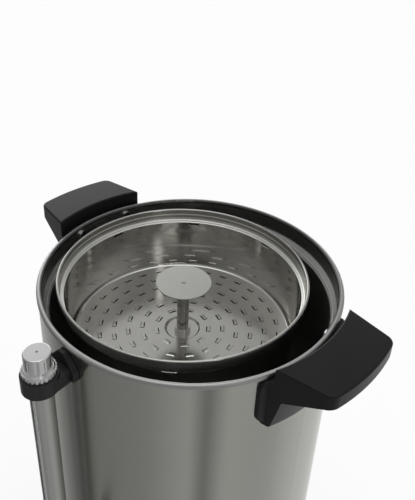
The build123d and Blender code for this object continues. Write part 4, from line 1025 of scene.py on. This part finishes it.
@dataclass
class Gauge:
    """The sight gauge beside the drum, with its slotted guard, its bracket and its bright cap."""

    def build(self) -> None:
        """Dresses the gauge's solids."""
        dress(Finish.GAUGE, "gauge_tube")
        dress(Finish.GUARD, "gauge_guard")
        dress(Finish.CHROME, "gauge_cap")
        dress(Finish.CLAMP, "gauge_bracket", "gauge_nut")
        dress(Finish.RUBBER, "gauge_seal", "cap_seal")
        dress(Finish.TURNED, "bracket_screws")


@dataclass
class Electrics:
    """Heaters, thermostats, wiring, the power inlet, the lamp and the switch.

    Attributes:
        switch_azimuth: degrees from +X to the switch, round the skirt.
        switch_height: height of the rocker's middle.
        probe: from the urn's axis to where its face is looked for from.
        mark_offset: from the rocker's middle to each mark.
        mark_size: height of a mark.
        mark_line: width of its line.
        mark_proud: how far it stands out of the face.
        mark_edge: radius of its edges.
        mark_steps: faces round the off mark.
    """

    switch_azimuth: float = -118.0
    switch_height: float = 36.0 * MM
    probe: float = 200.0 * MM
    mark_offset: float = 5.2 * MM
    mark_size: float = 3.2 * MM
    mark_line: float = 0.55 * MM
    mark_proud: float = 0.08 * MM
    mark_edge: float = 0.04 * MM
    mark_steps: int = 32

    def face(self, rise: float) -> Matrix:
        """Finds the rocker's face.

        Args:
            rise: height of the point above the rocker's middle.

        Returns:
            A place on the face, X along the skirt, Y up the face and Z out of it.
        """
        azimuth = math.radians(self.switch_azimuth)
        out = Vector((math.cos(azimuth), math.sin(azimuth), 0.0))
        start = out * self.probe + Vector((0.0, 0.0, self.switch_height + rise))
        spot, normal, _, _ = skin("switch_rocker").ray_cast(start, -out)
        if normal.dot(out) < 0:
            normal = -normal
        along = Vector((0.0, 0.0, 1.0)).cross(normal).normalized()
        turn = Matrix((along, normal.cross(along), normal)).transposed().to_4x4()
        return Matrix.Translation(spot) @ turn

    def marks(self) -> None:
        """Prints the on and off marks on the rocker."""
        proud, half = self.mark_proud, self.mark_line / 2
        inner, outer = self.mark_size / 2 - half, self.mark_size / 2 + half
        outline = ((inner, -proud), (outer, -proud), (outer, proud), (inner, proud))
        off_mark = Blank("switch_off_mark")
        off_mark.ring(outline, self.face(-self.mark_offset), self.mark_steps)
        off_mark.finish("rocker", "rocker_plastic", Finish.MARK)
        on_mark = Blank("switch_on_mark")
        at = self.face(self.mark_offset)
        on_mark.block(self.mark_line, self.mark_size, 2 * proud, self.mark_edge, at)
        on_mark.finish("rocker", "rocker_plastic", Finish.MARK)

    def build(self) -> None:
        """Dresses the electrical solids and prints the switch's marks."""
        dress(Finish.CAST, "heater_plate")
        dress(Finish.SHEATH, "pump_heater", "warming_element")
        dress(Finish.BLOCK, "terminal_block", "brew_thermostat")
        dress(Finish.BLOCK, "warming_thermostat", "thermal_cutout")
        dress(Finish.WIRE, "wiring")
        dress(Finish.GLOSS, "power_inlet", "switch_housing", "switch_rocker")
        dress(Finish.PIN, "inlet_pins")
        dress(Finish.CHROME, "indicator_bezel")
        dress(Finish.LENS, "indicator_lens")
        self.marks()


# Studio


@dataclass(frozen=True)
class Lamp:
    """A wide, even light, like a lit panel far away.

    Attributes:
        name: the lamp's name.
        comes_from: the way to it.
        strength: its strength.
        spread: degrees that it is wide.
    """

    name: str
    comes_from: Point
    strength: float
    spread: float

    def hang(self) -> None:
        """Hangs the lamp."""
        data = bpy.data.lights.new(self.name, "SUN")
        data.energy = self.strength
        data.angle = math.radians(self.spread)
        lamp = bpy.data.objects.new(self.name, data)
        lamp.visible_glossy = False
        bpy.context.scene.collection.objects.link(lamp)
        lamp.matrix_world = Vector(self.comes_from).to_track_quat("Z", "Y").to_matrix().to_4x4()


@dataclass(frozen=True)
class Room:
    """The room: white to the camera, plain on matt surfaces, and in bands of tone for metal.

    Heights and depths are the z and y of a direction. A bearing runs from 0 at -X over 0.25 at the
    front, 0.5 at +X and 0.75 at the back to 1. A slant grows from 0 at -X to 0.8 straight overhead
    and at +X, and is nearly 1 between those two.

    Attributes:
        matt_tone: the tone that matt surfaces are lit by.
        round_about: tones by bearing, under the horizon.
        overhead: tones by slant, above it.
        horizon: the height at which the one goes over into the other.
        slant_scale: slant to a unit of height, or of way to the right.
        front_slant: the least slant in front.
        front_end: the depth at which that ends.
        dimness: how much the lower part of the front is dimmed.
        dim_top: the height at which that ends.
        dim_end: the depth at which that ends.
        window: the first and last bearing of the bright window, and how soft its sides are.
        window_tone: its tone.
        box: the height from which the lit box overhead is seen.
        box_tone: its tone.
    """

    matt_tone: float = 0.6
    round_about: Tones = (
        (0.0, 0.45), (0.12, 0.03), (0.16, 0.25), (0.28, 0.3), (0.38, 0.46), (0.415, 0.2),
        (0.46, 0.5), (0.56, 0.45), (0.66, 0.65), (0.76, 0.75), (0.8, 1.3), (1.0, 0.4),
    )
    overhead: Tones = (
        (0.2, 2.2), (0.28, 1.6), (0.36, 0.65), (0.47, 0.5), (0.54, 0.43),
        (0.62, 0.40), (0.70, 0.38), (0.78, 0.44), (0.86, 0.46), (0.95, 0.34),
    )
    horizon: Step = (0.0, 0.2)
    slant_scale: float = 0.4
    front_slant: float = 0.46
    front_end: Step = (0.0, 0.3)
    dimness: float = 0.38
    dim_top: Step = (0.58, 0.14)
    dim_end: Step = (0.1, 0.3)
    window: tuple[float, float, float] = (0.443, 0.463, 0.01)
    window_tone: float = 1.3
    box: Step = (0.90, 0.12)
    box_tone: float = 1.4

    def mirrored(self, recipe: Recipe) -> bpy.types.NodeSocket:
        """Lays out the bands of tone.

        Args:
            recipe: the world's tree.

        Returns:
            The colour that metal mirrors in each direction.
        """
        x, y, z = recipe.parts(recipe.node("ShaderNodeTexCoord").outputs["Generated"])
        bearing = y.bearing(x)
        slant = (z + x) * self.slant_scale + self.slant_scale
        slant = slant + (self.front_slant - slant).held() * (1 - y.past(*self.front_end))
        dim = (1 - z.past(*self.dim_top)) * (1 - y.past(*self.dim_end)) * self.dimness
        upper = recipe.blend(dim, recipe.tones(self.overhead, slant), BLACK)
        upper = recipe.blend(bearing.between(*self.window), upper, grey(self.window_tone))
        lower = recipe.tones(self.round_about, bearing)
        around = recipe.blend(z.past(*self.horizon), lower, upper)
        return recipe.blend(z.past(*self.box), around, grey(self.box_tone))

    def light(self) -> None:
        """Lights the room."""
        recipe = Recipe("room", world=True)
        plain, white, bands = (
            recipe.node("ShaderNodeBackground", sockets={"Color": colour}).outputs[0]
            for colour in (grey(self.matt_tone), WHITE, self.mirrored(recipe))
        )
        glossy = recipe.value(recipe.node("ShaderNodeLightPath").outputs["Is Glossy Ray"])
        unseen = recipe.either(glossy, plain, bands)
        bpy.context.scene.world = recipe.done(recipe.either(recipe.seen(), unseen, white))


@dataclass
class Studio:
    """Pale floor, soft lamps, the room and the camera at the photograph's viewpoint.

    Attributes:
        picture: the photograph's width and height in pixels.
        focal_pixels: the camera's focal length, in pixels of the photograph.
        centre: the pixel that the camera looks straight at.
        camera_place: where it stands.
        pitch: degrees that it looks down.
        yaw: degrees that it is turned.
        roll: degrees that it is rolled.
        turn: degrees that its heading is turned round the urn.
        sensor: width of its sensor in millimetres.
        near: the nearest that it sees.
        floor_half: half the floor's width.
        floor_tone: the floor's tone.
        floor_white: how far the camera sees it as plain white, beside its shadows.
        room: the room.
        lamps: the lamps.
    """

    picture: tuple[int, int] = (415, 500)
    focal_pixels: float = 595.01
    centre: tuple[float, float] = (207.5, 190.0)
    camera_place: Point = (0.3022, -0.3130, 0.7717)
    pitch: float = 28.22
    yaw: float = 1.381
    roll: float = 2.759
    turn: float = 44.0
    sensor: float = 36.0
    near: float = 10.0 * MM
    floor_half: float = 4.0
    floor_tone: float = 0.86
    floor_white: float = 0.8
    room: Room = Room()
    lamps: tuple[Lamp, ...] = (
        Lamp("top_panel", (0.0, 0.2, 1.6), 1.2, 60.0),
        Lamp("left_panel", (-1.3, -0.9, 0.7), 0.3, 40.0),
        Lamp("right_panel", (1.2, 0.9, 0.7), 0.3, 40.0),
    )

    def stand_camera(self) -> None:
        """Stands the camera where the photograph was taken from."""
        yaw, pitch, roll = (math.radians(angle) for angle in (self.yaw, self.pitch, self.roll))
        level = math.cos(pitch)
        ahead = Vector((math.sin(yaw) * level, math.cos(yaw) * level, -math.sin(pitch)))
        right = Vector((math.cos(yaw), -math.sin(yaw), 0.0))
        above = right.cross(ahead)
        across = right * math.cos(roll) + above * math.sin(roll)
        upright = above * math.cos(roll) - right * math.sin(roll)
        axes = Matrix((across, upright, -ahead)).transposed().to_4x4()
        heading = Matrix.Rotation(math.radians(self.turn), 4, "Z")
        data = bpy.data.cameras.new("viewpoint")
        longest = max(self.picture)
        data.sensor_width = self.sensor
        data.lens = self.focal_pixels / longest * data.sensor_width
        data.shift_x = (self.picture[0] / 2 - self.centre[0]) / longest
        data.shift_y = (self.centre[1] - self.picture[1] / 2) / longest
        data.clip_start = self.near
        camera = bpy.data.objects.new("viewpoint", data)
        bpy.context.scene.collection.objects.link(camera)
        camera.matrix_world = Matrix.Translation(self.camera_place) @ heading @ axes
        bpy.context.scene.camera = camera

    def lay_floor(self) -> None:
        """Lays the pale floor, white to the camera but for the urn's shadow."""
        blank = bmesh.new()
        bmesh.ops.create_grid(blank, x_segments=1, y_segments=1, size=self.floor_half)
        data = bpy.data.meshes.new("floor")
        blank.to_mesh(data)
        blank.free()
        recipe = Recipe("pale_floor")
        matt = recipe.node("ShaderNodeBsdfDiffuse", sockets={"Color": grey(self.floor_tone)})
        white = recipe.node("ShaderNodeEmission", sockets={"Color": WHITE, "Strength": 1.0})
        share = recipe.seen() * self.floor_white
        mixed = recipe.either(share, matt.outputs[0], white.outputs[0])
        data.materials.append(recipe.done(mixed))
        floor = bpy.data.objects.new("floor", data)
        floor.visible_glossy = False
        bpy.context.scene.collection.objects.link(floor)

    def build(self) -> None:
        """Sets up the studio."""
        bpy.context.scene.view_settings.view_transform = "Standard"
        self.stand_camera()
        self.lay_floor()
        self.room.light()
        for lamp in self.lamps:
            lamp.hang()


def main() -> None:
    """Builds the studio and dresses each sub-assembly in turn."""
    logging.basicConfig(level=logging.INFO, format="%(name)s %(message)s")
    for part in (Studio(), Casing(), Basket(), Faucet(), Gauge(), Electrics()):
        log.info("%s", type(part).__name__)
        part.build()


if __name__ == "__main__":
    main()
